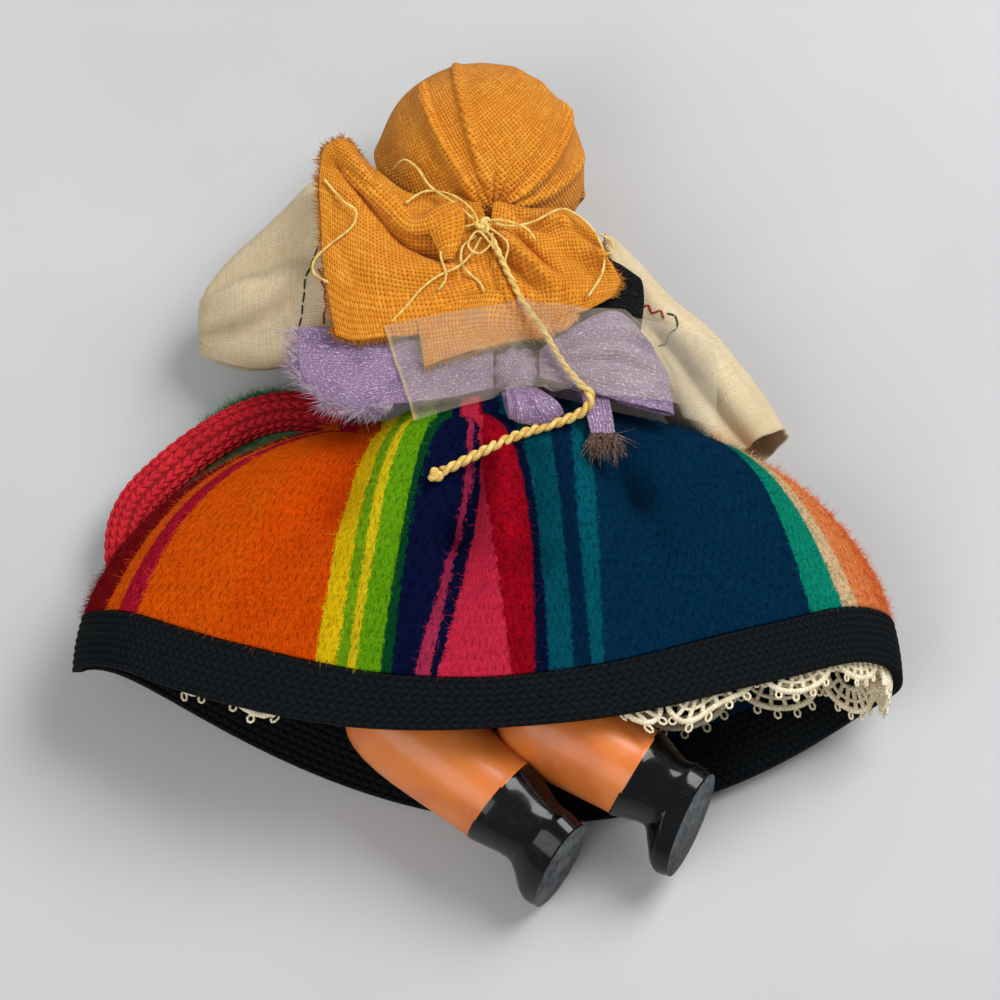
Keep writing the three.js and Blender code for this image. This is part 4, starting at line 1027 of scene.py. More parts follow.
def stripe_chart(u, v, points):
    """Places along the striping across the cloth, from where each point lies in the plan alone."""
    x, y = points[:, 0], points[:, 1]
    share = np.sqrt(np.clip((STRIPE_TOP - y) / STRIPE_FALL, 1e-3, 1))
    s0, s1, s2 = np.sqrt(STRIPE_SHARES)
    near = (share - s1) * (share - s2) / ((s0 - s1) * (s0 - s2))
    half = (share - s0) * (share - s2) / ((s1 - s0) * (s1 - s2))
    far = (share - s0) * (share - s1) / ((s2 - s0) * (s2 - s1))
    runs = [a * near + b * half + c * far for a, b, c, _ in STRIPE_RUNS]
    found = np.full_like(x, STRIPE_RUNS[0][3])
    for k in range(len(runs) - 1):
        part = np.clip((x - runs[k]) / np.maximum(runs[k + 1] - runs[k], 1e-6), 0, 1)
        found = np.where(x >= runs[k], mix(STRIPE_RUNS[k][3], STRIPE_RUNS[k + 1][3], part), found)
    return np.stack([found, CHART_TOP - y], axis=-1)


def stripe_colours(w):
    """The stripes' colours from the chart, with soft woolly edges."""
    x, y, _ = w.split(w.chart)
    wander = w.less(w.speck(w.join(w.times(x, 1.6), w.times(y, 0.5)), 1.6, 3.0, 0.7), 0.5)
    woolly = w.less(w.speck(w.join(w.times(x, 2.2), w.times(y, 0.7)), 4.5, 2.0), 0.5)
    wander = w.sum("MULTIPLY_ADD", woolly, 0.8, wander)
    moved = w.sum("MULTIPLY_ADD", wander, 1.7, x)
    ramp = w.add("ShaderNodeValToRGB", {0: w.divide(w.plus(moved, STRIPE_EDGE), 2 * STRIPE_EDGE)})
    ramp.color_ramp.interpolation = "CONSTANT"
    stops = ramp.color_ramp.elements
    for i, (start, shade) in enumerate(STRIPES):
        at = (start + STRIPE_EDGE) / (2 * STRIPE_EDGE)
        stop = stops.new(at) if i else stops[0]
        stop.position = at
        stop.color = colour(*shade)
    stops.remove(stops[len(stops) - 1])
    return ramp.outputs[0]


def striped_wool():
    w = Finish("striped wool", Roughness=1.0, Specular_IOR_Level=0.04)
    nap = w.group(NAP, Cloth=w.chart)
    lit = w.blend(w.times(nap["Tint"], 0.3), stripe_colours(w), colour(255, 200, 140), "SOFT_LIGHT")
    # Painted highlight: the high fibres of the nap are lightened.
    lit = w.blend(w.step(nap["Height"], 0.42, 0.7, 0.0, 0.5), lit, colour(255, 226, 190), "OVERLAY")
    # Painted shade: the wool is darkened low between the fibres.
    lit = w.blend(w.step(nap["Height"], 0.5, 0.3, 0.0, 0.6), lit, colour(60, 34, 40), "MULTIPLY")
    lit = w.blend(w.times(nap["Strokes"], 0.45), lit, colour(30, 16, 22), "MULTIPLY")
    height = w.less(nap["Height"], w.times(nap["Strokes"], 0.3))
    return w.feed(Base_Color=lit, Normal=w.bump(height, 0.9, 0.5))


def striped_hair():
    w = Finish("stripe-coloured hair", Roughness=1.0, Specular_IOR_Level=0.04)
    tint = w.step(w.speck(w.place, 800.0, 2.0), 0.3, 0.7)
    return w.feed(Base_Color=w.blend(w.times(tint, 0.5), stripe_colours(w), colour(255, 226, 190), "OVERLAY"))


HAIR_COUNT = 8500
HAIR_REACH = 0.25


def skirt_hairs(name, layer, low, high, end):
    """Short hairs that stand out of the wool, in the colour of the stripe under each."""
    turn = noise.uniform(low, high, HAIR_COUNT)
    drop = np.sqrt(noise.uniform(0.012, end ** 2, HAIR_COUNT))
    roots = layer(turn, drop)
    step = 2e-3
    round_ = layer(turn + step, drop) - layer(turn - step, drop)
    down = layer(turn, drop + step) - layer(turn, drop - step)
    out = unit(np.cross(round_, down))
    runs = out * noise.uniform(0.15, 0.7, (HAIR_COUNT, 1))
    runs = runs + unit(down) * noise.uniform(-0.3, 0.9, (HAIR_COUNT, 1))
    runs = runs + unit(round_) * noise.normal(0, 0.45, (HAIR_COUNT, 1))
    lengths = noise.uniform(0.5, 1.5, HAIR_COUNT)
    return hairs(name, roots + out * 0.42, runs, lengths, stripe_chart(None, None, roots), 0.035, 0.6)


def add_skirt():
    layer = skirt_layer(0)
    end = 1 - BRAID_SHARE - 0.06 / SKIRT_LENGTH
    skirt = sheet("striped_skirt", around(layer, level(0), level(end)), 380, 110, 1.0, chart=stripe_chart)
    dress(skirt, striped_wool(), "skirt_wool", "skirt")
    hair = striped_hair()
    naps = [dress(skirt_hairs(name, layer, low, high, end), hair, "skirt_wool") for name, low, high in (
        ("skirt_nap_right", -HAIR_REACH, math.pi / 2), ("skirt_nap_left", math.pi / 2, math.pi + HAIR_REACH))]
    return skirt


def black_braid():
    """Flat black braid: slanting stitches along each rib, with the dark between the ribs."""
    w = Finish("ribbed black braid", Roughness=0.8, Specular_IOR_Level=0.12)
    x, y, _ = w.split(w.chart)
    flip = w.less(w.times(w.sum("MODULO", w.floor(y), 2.0), 2.0), 1.0)
    slant = w.plus(w.divide(x, 1.3), w.times(w.times(w.sum("FRACT", y), flip), 0.5))
    stitch = w.ridges(slant)
    fibre = w.speck(w.chart, 3.5, 3.0)
    light = w.blend(w.step(stitch, 0.1, 0.9), colour(1, 2, 3), colour(8, 14, 18))
    return w.feed(Base_Color=w.blend(w.times(w.step(fibre, 0.5, 0.75), 0.3), light, colour(24, 34, 38)),
                  Normal=w.bump(w.sum("MULTIPLY_ADD", fibre, 0.4, stitch), 0.7, 0.22))


BRAID_LONG = 312


def add_hem_braid():
    braid = sheet("hem_braid_ribs", around(skirt_layer(0), level(1 - BRAID_SHARE), level(1)), 480, 38, 1.2,
                  chart=lambda u, v, points: np.stack([u * BRAID_LONG, v * BRAID_WIDE], axis=-1))
    press(braid, lambda x, y: 0.34 * np.abs(np.sin(np.pi * y)) ** 0.6 - 0.2)
    dress(braid, black_braid(), "black_braid", "hem_braid")


# The petticoat lies this far inside the skirt's middle, past half of each cloth and a gap
LINING = 0.5 + 0.55 + 0.35
# How far the petticoat ends above the hem, and how much lower it sags at its sides and in one fold
ABOVE_HEM, RIGHT_SAG, LEFT_SAG, FOLD_SAG = 14.5, 8, 12.2, 4.5


def lace_top(turn):
    """How far down the skirt the lace starts. It sags in folds at the right, and at the left too."""
    side, back = np.cos(turn), np.sin(turn)
    fold = FOLD_SAG * np.exp(-((side - 0.43) / 0.1) ** 2)
    sagging = RIGHT_SAG * smooth(side, 0.2, 0.36) + fold + 2.5 * smooth(side, 0.5, 0.7)
    lower_right = sagging * smooth(back, -0.9, -0.2)
    sagging = LEFT_SAG - 4 * smooth(-side, 0.7, 0.84)
    lower_left = sagging * smooth(-side, 0.3, 0.55) * smooth(back, 0.0, 0.4)
    above_hem = ABOVE_HEM + 3.5 * smooth(-side, -0.2, 0.5)
    return 1 - (above_hem - lower_right - lower_left) / SKIRT_LENGTH


def add_petticoat():
    cotton = woven("pinkish beige cotton", colour(232, 196, 168), colour(214, 174, 142), colour(140, 102, 78),
                   pitch=0.32, depth=0.08)
    place = around(skirt_layer(LINING), level(0), lambda turn: lace_top(turn) - 0.2 / SKIRT_LENGTH)
    petticoat = sheet("petticoat_cloth", place, 220, 60, 0.6)
    dress(petticoat, cotton, "petticoat_cotton", "petticoat")


SCALLOPS = 22
TOP_CHAIN, LOW_CHAIN = 0.1, 1.0
CHAIN_RADIUS, LOOP_RADIUS = 0.38, 0.2
# Each arch: how much of the scallop it reaches to either side, and its yarn's radius
ARCHES = ((0.22, 0.34), (0.36, 0.3), (0.47, 0.5))
ARCH_DEEP = 11.2
# A bar's start and end: how much of the scallop they reach to either side, and how far down
BAR_ENDS = ((0.2, 1.9), (0.46, 5.1))
EDGE_REACH, EDGE_TOP, EDGE_DEEP = 0.49, 1.55, 5.4


def lace_runs(on_skirt):
    """Chains along the top, and in each scallop three arches, a fan of bars and loops along its edge."""
    all_round = np.linspace(0, SCALLOPS, SCALLOPS * 14 + 1)
    runs = [(on_skirt(all_round, 0 * all_round + down), CHAIN_RADIUS, 0.0) for down in (TOP_CHAIN, LOW_CHAIN)]
    steps = np.linspace(0, 1, 4)
    for at in np.arange(0, SCALLOPS, 1 / 6):
        runs.append((on_skirt(at + steps * 0.09, mix(TOP_CHAIN, LOW_CHAIN, steps)), LOOP_RADIUS, 0.0))
    arch = np.linspace(0, math.pi, 15)
    ring = np.linspace(-0.6, 2 * math.pi - 0.6, 9)
    for middle in np.arange(SCALLOPS) + 0.5:
        for reach, thick in ARCHES:
            depth = LOW_CHAIN + (ARCH_DEEP * reach - 0.1) * np.sin(arch) ** 0.75
            runs.append((on_skirt(middle - reach * np.cos(arch), depth), thick, 0.0))
        for angle in np.linspace(0.14, 0.86, 7) * math.pi:
            ends = [(middle - reach * math.cos(angle), LOW_CHAIN + long * math.sin(angle) ** 0.75)
                    for reach, long in BAR_ENDS]
            line = mix(np.array(ends[0]), np.array(ends[1]), np.linspace(0, 1, 5)[:, None])
            runs.append((on_skirt(line[:, 0], line[:, 1]), CHAIN_RADIUS, 0.0))
        for angle in np.linspace(0.12, 0.88, 6) * math.pi:
            across = middle - EDGE_REACH * math.cos(angle)
            down = EDGE_TOP + EDGE_DEEP * math.sin(angle) ** 0.75
            loop = on_skirt(across + 0.035 * np.cos(ring), down + 0.5 * np.sin(ring))
            runs.append((loop, LOOP_RADIUS, 0.0))
    return runs


def add_lace():
    layer = skirt_layer(LINING - 0.1)

    def on_skirt(across, down):
        turn = across * 2 * math.pi / SCALLOPS
        return layer(turn, lace_top(turn) + down / SKIRT_LENGTH)
    crochet = twisted_cotton("cream crochet cotton", colour(222, 206, 170), colour(246, 236, 206),
                             colour(140, 118, 82), (0.55, 0.6), (0.4, 0.05), (0.6, 0.1), (600.0, 2.0), 0.2)
    dress(yarns("crochet_lace", lace_runs(on_skirt)), crochet, "lace", "lace_edging")


skirt = add_skirt()
add_hem_braid()
add_petticoat()
add_lace()


# Clothes round the torso
def vest_felt():
    w = Finish("black felt", Roughness=1.0, Specular_IOR_Level=0.05)
    hair = w.speck(w.place, 2600.0, 4.0, 0.7)
    base = w.blend(w.step(hair, 0.4, 0.75), colour(12, 13, 15), colour(38, 39, 38))
    return w.feed(Base_Color=w.blend(w.times(w.marks(0.008)["Soil"], 0.35), base, colour(60, 57, 52)),
                  Normal=w.bump(hair, 0.5, 0.15))


ARMHOLE_RADIUS, ARMHOLE_DEEP = 6.4, 16


def cut_armholes(piece):
    for side in (-1, 1):
        drill = cross_cylinder((side * SHOULDER_X, SHOULDER_Y, BODY_Z), ARMHOLE_RADIUS, ARMHOLE_DEEP, 40)
        edit(drill, face_out)
        apply(piece, "BOOLEAN", operation="DIFFERENCE", object=drill, solver="EXACT")
        bpy.data.objects.remove(drill)
    only(piece)
    bpy.ops.object.shade_smooth_by_angle(angle=math.radians(40))


def torso_band(name, low, high, ease, cloth, columns=96, rows=36, ripple=None):
    """A closed band round the torso from one height to another."""
    return sheet(name, round_torso(low, high, ease, ripple), columns, rows, cloth)


def satin():
    """Lavender satin ribbon: fine ribs along it with pale sparkles painted in as highlights, and slubs where
    it is rubbed.
    """
    w = Finish("lavender satin", Specular_IOR_Level=0.45)
    x, y, _ = w.split(w.chart)
    sway = w.times(w.speck(w.join(w.times(x, 0.5), w.times(y, 0.5)), 1.0, 3.0), 1.1)
    ribs = w.ridges(w.divide(w.plus(y, sway), 0.42))
    weave = w.group(WEAVE, Cloth=w.chart, Pitch=0.42, Slack=0.7)
    painted_glint = w.step(w.speck(w.join(w.times(x, 1.6), w.times(y, 2.6)), 1.3, 2.0, 0.6), 0.52, 0.72)
    base = w.blend(w.marks(0.006)["Soil"], colour(142, 114, 144), colour(112, 84, 124))
    base = w.blend(w.times(w.step(ribs, 0.55, 0.1), 0.6), base, colour(80, 54, 98))
    base = w.blend(w.times(weave["Gaps"], 0.5), base, colour(54, 38, 70))
    # Painted highlights: small pale sparkles laid into the colour over the ribs.
    base = w.blend(w.times(painted_glint, 0.6), base, colour(232, 220, 232))
    height = w.sum("MULTIPLY_ADD", weave["Height"], 0.6, ribs)
    return w.feed(Base_Color=base, Roughness=w.step(painted_glint, 0, 1, 0.5, 0.24), Normal=w.bump(height, 0.6, 0.1))


def ribbon_hair():
    """Lavender threads, and brown ones where the chart's x is 1."""
    w = Finish("frayed ribbon ends", Roughness=0.7, Specular_IOR_Level=0.2)
    lavender = w.tint(900.0, 2.0, colour(150, 124, 152), colour(204, 186, 200))
    brown = w.blend(w.step(w.speck(w.place, 1500.0), 0.4, 0.6), colour(92, 70, 60), colour(150, 124, 112))
    return w.feed(Base_Color=w.blend(w.split(w.chart)[0], lavender, brown))


def fringe(name, place, line, count, lengths, material, slot, radius, bend=0.35, spread=0.3, lift=0.0,
           inward=0.02, tint=0.0):
    """Loose threads off a cloth's edge. Line is u and v at its start and at its end, and the way out."""
    t = noise.uniform(0, 1, count)
    u0, v0, u1, v1, du, dv = line
    u, v = mix(u0, u1, t), mix(v0, v1, t)
    inner = place(np.clip(u - du * inward, 0, 1), np.clip(v - dv * inward, 0, 1))
    out = unit(place(u, v) - inner)
    runs = out + noise.normal(0, spread, (count, 3)) * np.array([1, 1, 0.5]) + np.array([0, 0, lift])
    chart = np.tile(np.array([tint, 0.0]), (count, 1))
    piece = hairs(name, inner, runs, noise.uniform(*lengths, count), chart, radius, bend)
    return dress(piece, material, slot)


def raised(place, lines, sign=1.0):
    """A surface with soft folds pressed into it along its normals."""
    def folded(u, v):
        return place(u, v) + sign * normals_of(place, u, v) * creases(u, v, lines)[:, None]
    return folded


# The vest's armhole edge, which stands over the right sleeve's head
VEST_EDGE = [
    [(13.4, 33, 21.8), (16.6, 32.4, 22.4), (19.4, 30.6, 22.6), (21.2, 29, 22.8)],
    [(13.6, 29, 24.4), (16.8, 28.8, 24.9), (20, 28.2, 24.9), (22.3, 27.2, 24.2)],
    [(13.6, 24, 25.4), (16.8, 24, 25.9), (20, 23.8, 25.5), (22.6, 23.4, 24.8)],
    [(13.2, 17.5, 25.4), (16.2, 17.6, 26), (19.4, 17.8, 25.6), (22, 18, 25)],
]


def add_torso_clothes():
    """The blouse's body, the vest and the waistband. The blouse's cotton is handed on to the sleeves."""
    cotton = woven("cream cotton", colour(226, 208, 174), colour(206, 186, 148), colour(148, 124, 88),
                   0.3, 0.4, 0.06)
    felt = vest_felt()
    tape = woven("dark cotton tape", colour(60, 44, 38), colour(40, 28, 24), colour(16, 11, 10), 0.4)
    blouse = torso_band("blouse_body", 2, 34, 0.65, 0.5)
    vest = torso_band("felt_vest", 11, 33.6, 1.7, 0.8)
    for band in (blouse, vest):
        cut_armholes(band)
    dress(blouse, cotton, "blouse_cotton", "blouse")
    dress(vest, felt, "vest_felt", "vest")
    edge = sheet("vest_armhole_edge", between_rails(VEST_EDGE), 40, 26, 0.8)
    dress(edge, felt, "vest_felt", "vest")
    waistband = torso_band("gathered_waistband", 6.6, 10.2, 1.7, 0.8, rows=10)
    dress(waistband, tape, "waistband_cotton", "skirt_waistband")
    return cotton


# Sash: one ribbon round the waist, its knot, the loop and the tails
KNOT = (2.6, 10, 28.8)
KNOT_WIDE, KNOT_HIGH, KNOT_DEEP, KNOT_PLEATS = 3.7, 3.9, 1.65, 9
RIBBON_THICK = 0.45
TAIL_RAILS = [
    [(-1.05, 13.6, 28.9), (-9, 14.8, 29.1), (-19.5, 15.6, 28.9), (-26, 17.4, 28.6), (-31.6, 17.9, 27.9)],
    [(-1.05, 11.4, 29.1), (-9, 11.4, 29.4), (-19, 11.6, 29.2), (-26, 12.2, 28.8), (-31.4, 12.9, 28)],
    [(-1.05, 9.2, 29.1), (-9, 8.4, 29.6), (-18, 7.6, 29.8), (-24.6, 7.4, 29.4), (-30.6, 9, 28.4)],
    [(-1.05, 7, 28.9), (-9, 5, 29.5), (-16, 3.9, 30.1), (-22, 3.2, 29.9), (-27.4, 5.0, 29.2)],
]
TAIL_FOLDS = [
    (0.0, 0.3, 0.5, 0.25, 0.07, 0.5), (0.0, 0.62, 0.45, 0.7, 0.06, 0.45), (0.5, 0.15, 0.95, 0.3, 0.1, 0.3),
    (0.55, 0.55, 0.98, 0.7, 0.08, 0.35), (0.6, 0.85, 0.95, 0.9, 0.06, -0.3),
]
LOOP_TOP = [
    (6.1, 12.4, 28.9), (12, 17.2, 28.9), (17.8, 20.2, 28.3), (22.2, 15.8, 27.3), (23.2, 15.2, 28.1),
    (18.2, 19.8, 29.6), (12, 17.2, 30.3), (6.1, 12.8, 30.3),
]
LOOP_LOW = [
    (6.1, 8.4, 28.9), (12, 6.4, 29.2), (19, 4.6, 28.4), (25.4, 3.2, 27.2), (26.3, 3.2, 28.1),
    (19, 4.4, 29.8), (12, 6.2, 30.6), (6.1, 8.2, 30.3),
]
LOOP_FOLDS = [
    (0.99, 0.3, 0.62, 0.22, 0.09, 0.7), (0.99, 0.55, 0.6, 0.62, 0.08, 0.8), (0.98, 0.8, 0.66, 0.9, 0.06, 0.5),
    (0.95, 0.42, 0.6, 0.42, 0.07, -0.4),
]
PUFF_RAILS = [
    [(0.2, 6.05, 29.7), (0.8, 3.2, 29.9), (1.4, 1.3, 30.8), (1.2, 3.0, 32), (0.8, 6.05, 31.3)],
    [(2.8, 6.05, 29.5), (4.6, 1.6, 29.8), (5.6, 0.2, 30.9), (4.8, 2.2, 32.4), (3, 6.05, 31.6)],
    [(5.6, 6.05, 29.6), (8.6, 3.0, 29.9), (9.8, 2.0, 30.8), (8.8, 3.4, 32), (5.6, 6.05, 31.2)],
]
PUFF_FOLDS = [(0.95, 0.3, 0.5, 0.24, 0.07, 0.45), (0.95, 0.6, 0.5, 0.66, 0.07, 0.45)]
SHORT_RAILS = [
    [(12.4, 6.6, 29.3), (13.4, 1.8, 29.9), (14, -1, 29.8)],
    [(16.7, 6.6, 29.3), (17.4, 1.8, 29.9), (17.8, -1.2, 29.8)],
]


def band_ripple(u, v):
    return 0.175 * np.sin(v * 15 + 3 * np.sin(u * 19))


def knot_place(u, v):
    """A flattened round wrap with soft pleats."""
    turn, down = 2 * math.pi * u, math.pi * v
    flat = (1 + 0.09 * np.cos(KNOT_PLEATS * turn + 2 * down) * np.sin(down)) * np.sin(down)
    x, y, z = KNOT
    return xyz(x + KNOT_WIDE * np.cos(turn) * flat, y + KNOT_HIGH * np.sin(turn) * flat,
               z + KNOT_DEEP * np.cos(down))


def loop_place():
    """The ribbon out along the skirt, over at its end and back on top of itself, fuller in its middle."""
    middle = (np.array(LOOP_TOP) + np.array(LOOP_LOW)) / 2
    middle[3:6, 0] += 0.9
    middle[4:, 2] += 0.25
    return raised(between_rails([LOOP_TOP, middle, LOOP_LOW]), LOOP_FOLDS, sign=-1.0)


def add_sash():
    ribbon, hair = satin(), ribbon_hair()
    band = torso_band("sash_round_waist", 6.6, 14.6, 2.75, 0.5, 160, 40, band_ripple)
    dress(band, ribbon, "ribbon", "sash_band")

    knot = dress(sheet("sash_knot_wrap", knot_place, 72, 40, closed=True), ribbon, "ribbon", "sash_knot")

    tail_place = raised(between_rails(TAIL_RAILS), TAIL_FOLDS)
    tail = laid_sheet("sash_tail", tail_place, 90, 36, [skirt, band], 0.55, RIBBON_THICK)
    dress(tail, ribbon, "ribbon", "sash_left_tail")
    frays = [
        fringe("tail_end_fray", tail_place, (1, 0.05, 1, 1, 1, 0), 380, (1.2, 3.6), hair, "ribbon", 0.05,
               lift=0.25),
        fringe("tail_low_fray", tail_place, (0.52, 1, 1, 1, 0.4, 1), 520, (1.2, 3.4), hair, "ribbon", 0.05,
               spread=0.4, lift=0.2),
    ]

    loop = dress(sheet("sash_loop", loop_place(), 150, 30, RIBBON_THICK), ribbon, "ribbon", "sash_right_loop")

    puff_place = raised(between_rails(PUFF_RAILS), PUFF_FOLDS, sign=-1.0)
    puff = dress(sheet("sash_lower_puff", puff_place, 80, 36, 0.4), ribbon, "ribbon", "sash_lower_loop")

    short_place = between_rails(SHORT_RAILS)
    short = laid_sheet("sash_short_end", short_place, 26, 14, [skirt], 0.6, RIBBON_THICK)
    dress(short, ribbon, "ribbon", "sash_short_tail")
    tuft = fringe("sash_tuft", short_place, (1, 0, 1, 1, 1, 0), 420, (2.5, 5.4), hair, "ribbon", 0.07,
                  bend=0.3, spread=0.26, lift=0.35, inward=0.1, tint=1.0)
    return {"band": band, "knot": knot, "tail": tail, "loop": loop, "puff": puff, "short": short}


# Sleeves
LEFT_SLEEVE = [
    ((-16.85, 33, 15.4), (-1, 0, 0), 7.4, 7.4), ((-18.85, 33, 15.4), (-1, 0, 0), 9.2, 9.4),
    ((-22.35, 33, 15.4), (-1, 0, 0), 10.8, 11.8), ((-26.35, 33.4, 14.8), (-1, 0, 0), 11.2, 14),
    ((-29.85, 33.8, 14.2), (-1, 0, 0), 11.4, 15.6), ((-33.35, 32.2, 13.4), (-1, 0, 0), 11, 14.6),
    ((-37.85, 29.6, 12.4), (-1, 0, 0), 10, 12.2), ((-42.35, 28, 11), (-1, 0, 0), 8.4, 9.6),
    ((-46.35, 27, 9.4), (-1, 0, 0), 6, 6.4), ((-48.35, 26.8, 8.4), (-1, 0, 0), 3.8, 4),
]
RIGHT_SLEEVE = [
    ((16.85, 33, 15.4), (1, 0, 0), 6.6, 6.4), ((18.25, 30.6, 15.4), (1, -0.3, 0), 8.2, 6.4),
    ((23.2, 23.2, 14.6), (0.72, -0.66, 0), 8.6, 6.5), ((28.6, 18.2, 13.6), (0.7, -0.7, 0), 8.8, 7.2),
    ((33.2, 12.9, 12.2), (0.68, -0.72, 0), 8.4, 7.6), ((37.6, 7.8, 11.1), (0.6, -0.8, 0), 7.6, 7.1),
    ((41, 4.2, 10.1), (0.5, -0.86, 0), 5.8, 5.9),
]

LEFT_SLEEVE_FOLDS = [
    (0.66, 0.86, 0.78, 0.35, 0.045, -3.1), (0.6, 0.9, 0.68, 0.4, 0.04, 1.5),
    (0.9, 0.95, 0.84, 0.45, 0.05, -2.5), (0.95, 0.7, 0.9, 0.3, 0.05, 1.3),
    (0.55, 0.75, 0.62, 0.3, 0.04, -1.9), (0.73, 0.97, 0.74, 0.7, 0.03, 1.2),
    (0.02, 0.9, 0.03, 0.4, 0.06, -0.9), (0.8, 0.25, 0.72, 0.12, 0.03, -0.8),
    (0.7, 0.3, 0.75, 0.1, 0.03, 0.5),
]
RIGHT_SLEEVE_FOLDS = [
    (0.68, 0.97, 0.7, 0.35, 0.035, -1.7), (0.78, 0.95, 0.8, 0.3, 0.05, 0.9),
    (0.9, 0.9, 0.88, 0.45, 0.05, -1.1), (0.6, 0.9, 0.62, 0.35, 0.04, 0.8),
    (0.73, 0.45, 0.8, 0.15, 0.04, -0.7),
]
STITCH_RADIUS = 0.14


def sleeve_place(stations, folds, gather, cuff, sway):
    """A sleeve with its folds, gathers at its head, pleats at its cuff and a slow sway between them."""
    def place(u, v):
        turn = 2 * math.pi * u
        middle, side, up, deep, wide = swept(stations, v)
        grow = creases(u, v, folds) - 0.35
        grow = grow + gather[0] * np.exp(-((v - 0.04) / 0.12) ** 2) * np.sin(gather[1] * turn)
        grow = grow + cuff[0] * np.exp(-((v - 1.0) / 0.16) ** 2) * np.sin(cuff[1] * turn)
        grow = grow + sway[0] * np.sin(sway[1] * turn + sway[2] * v) * np.sin(math.pi * v)
        across = side * ((wide + grow) * np.cos(turn))[:, None]
        point = middle + across + up * ((deep + grow) * np.sin(turn))[:, None]
        point[:, 2] = np.maximum(point[:, 2], 0.55 + 0.12 * np.sin(turn * 7))
        return point
    return place


def stitches(name, sleeve, body, path, stitch, gap, material, aside):
    """Short stitches laid on a sleeve along a path seen from above, slanting to either side in turn."""
    tree = tree_over([sleeve])[0]
    line = along_route([(x, y, 0) for x, y in path], 80)
    length = lengths_along(line)
    runs = []
    at, side = 0.0, 1
    while at + stitch < length[-1]:
        ends = [np.array([np.interp(at + f * stitch, length, line[:, k]) for k in range(3)])
                for f in (0, 0.5, 1)]
        way = unit(ends[2] - ends[0])
        across = np.array([-way[1], way[0], 0]) * aside * side
        laid = []
        for (x, y, _), over in zip((ends[0] - across, ends[1], ends[2] + across), (0.05, 0.22, 0.05)):
            height = height_on(tree, x, y)
            if height is not None:
                laid.append((x, y, height + over))
        if len(laid) == 3:
            runs.append((along_route(laid, 5), STITCH_RADIUS, 0.0))
        at += stitch + gap
        side = -side
    return dress(yarns(name, runs), material, "blouse_cotton", body=body)


def sewing_thread(name, dark, light):
    w = Finish(name, Roughness=0.85, Specular_IOR_Level=0.15)
    lines = w.group(TWIST, Cloth=w.chart, Pitch=0.25, Slant=0.8)["Height"]
    return w.feed(Base_Color=w.blend(w.step(lines, 0.1, 0.8), dark, light), Normal=w.bump(lines, 0.5, 0.05))


def add_sleeves(cotton):
    left_place = sleeve_place(LEFT_SLEEVE, LEFT_SLEEVE_FOLDS, (0.45, 15), (0.5, 9), (0.35, 3, 7))
    right_place = sleeve_place(RIGHT_SLEEVE, RIGHT_SLEEVE_FOLDS, (0.35, 13), (0.3, 7), (0.25, 2, 6))
    left = sheet("left_full_sleeve", left_place, 120, 80, 0.5)
    right = sheet("right_full_sleeve", right_place, 110, 70, 0.5)
    dress(left, cotton, "blouse_cotton", "left_sleeve", body="left_arm")
    dress(right, cotton, "blouse_cotton", "right_sleeve", body="right_arm")
    green = sewing_thread("dark green stitches", colour(20, 34, 26), colour(52, 70, 54))
    red = sewing_thread("red stitches", colour(120, 22, 26), colour(186, 62, 56))
    left_work = [
        stitches("left_green_stitches", left, "left_arm",
                 [(-28.3, 36), (-30.8, 28.6), (-31.2, 24.6), (-32, 19.6)],
                 1.5, 0.5, green, 0.08),
        stitches("left_red_stitches", left, "left_arm", [(-28.7, 30), (-27.6, 24.6), (-28.1, 20.4)],
                 1.2, 0.12, red, 0.15),
    ]
    right_work = [
        stitches("right_red_stitches", right, "right_arm", [(22.4, 24.2), (26.4, 21.9)], 1.0, 0.1, red, 0.45),
        stitches("right_green_stitches", right, "right_arm", [(26.6, 22.6), (28.1, 20.6), (24.4, 17)],
                 1.0, 0.15, green, 0.2),
    ]
    return left, right


# Apron and its red braid
APRON_OUTER = [
    (-29, 15.6, 3.6), (-36, 16.6, 4.8), (-42, 14.6, 5.4), (-49, 10.2, 5.7), (-56, 4.2, 5.8), (-61, -1.8, 5.6),
    (-63, -8, 5.2), (-62.5, -16, 4), (-59, -24, 2.4),
]
APRON_INNER = [
    (-21, 9.6, 1.4), (-31, 10.6, 2.6), (-38.5, 9, 3.4), (-45, 5.2, 4), (-51, 0, 4.2), (-55.5, -5, 3.8),
    (-57, -11, 3), (-55.5, -19, 1.6), (-52, -27, 0.5),
]
APRON_MIDDLE = [
    (-14, 5, 0.4), (-22, 1, 0.4), (-30, -5, 0.4), (-36, -13, 0.4), (-38, -22, 0.4), (-37, -31, 0.4),
]
APRON_RIGHT = [(12, 5, 0.4), (15, -4, 0.4), (18, -13, 0.4), (20, -22, 0.4), (21, -31, 0.4)]


def green_wool():
    w = Finish("green apron wool", Roughness=1.0, Specular_IOR_Level=0.05)
    nap = w.group(NAP, Cloth=w.chart)
    base = w.blend(nap["Tint"], colour(52, 124, 78), colour(104, 172, 118))
    return w.feed(Base_Color=w.blend(w.times(nap["Strokes"], 0.5), base, colour(14, 40, 28)),
                  Normal=w.bump(nap["Height"], 0.8, 0.4))


KNIT_PITCH, KNIT_SLANT, KNIT_COLUMNS = 2.0, 1.3, 12
RED_LONG, RED_WIDE, RED_HIGH, RED_LIFT = 72, 2.95, 1.75, 2.1


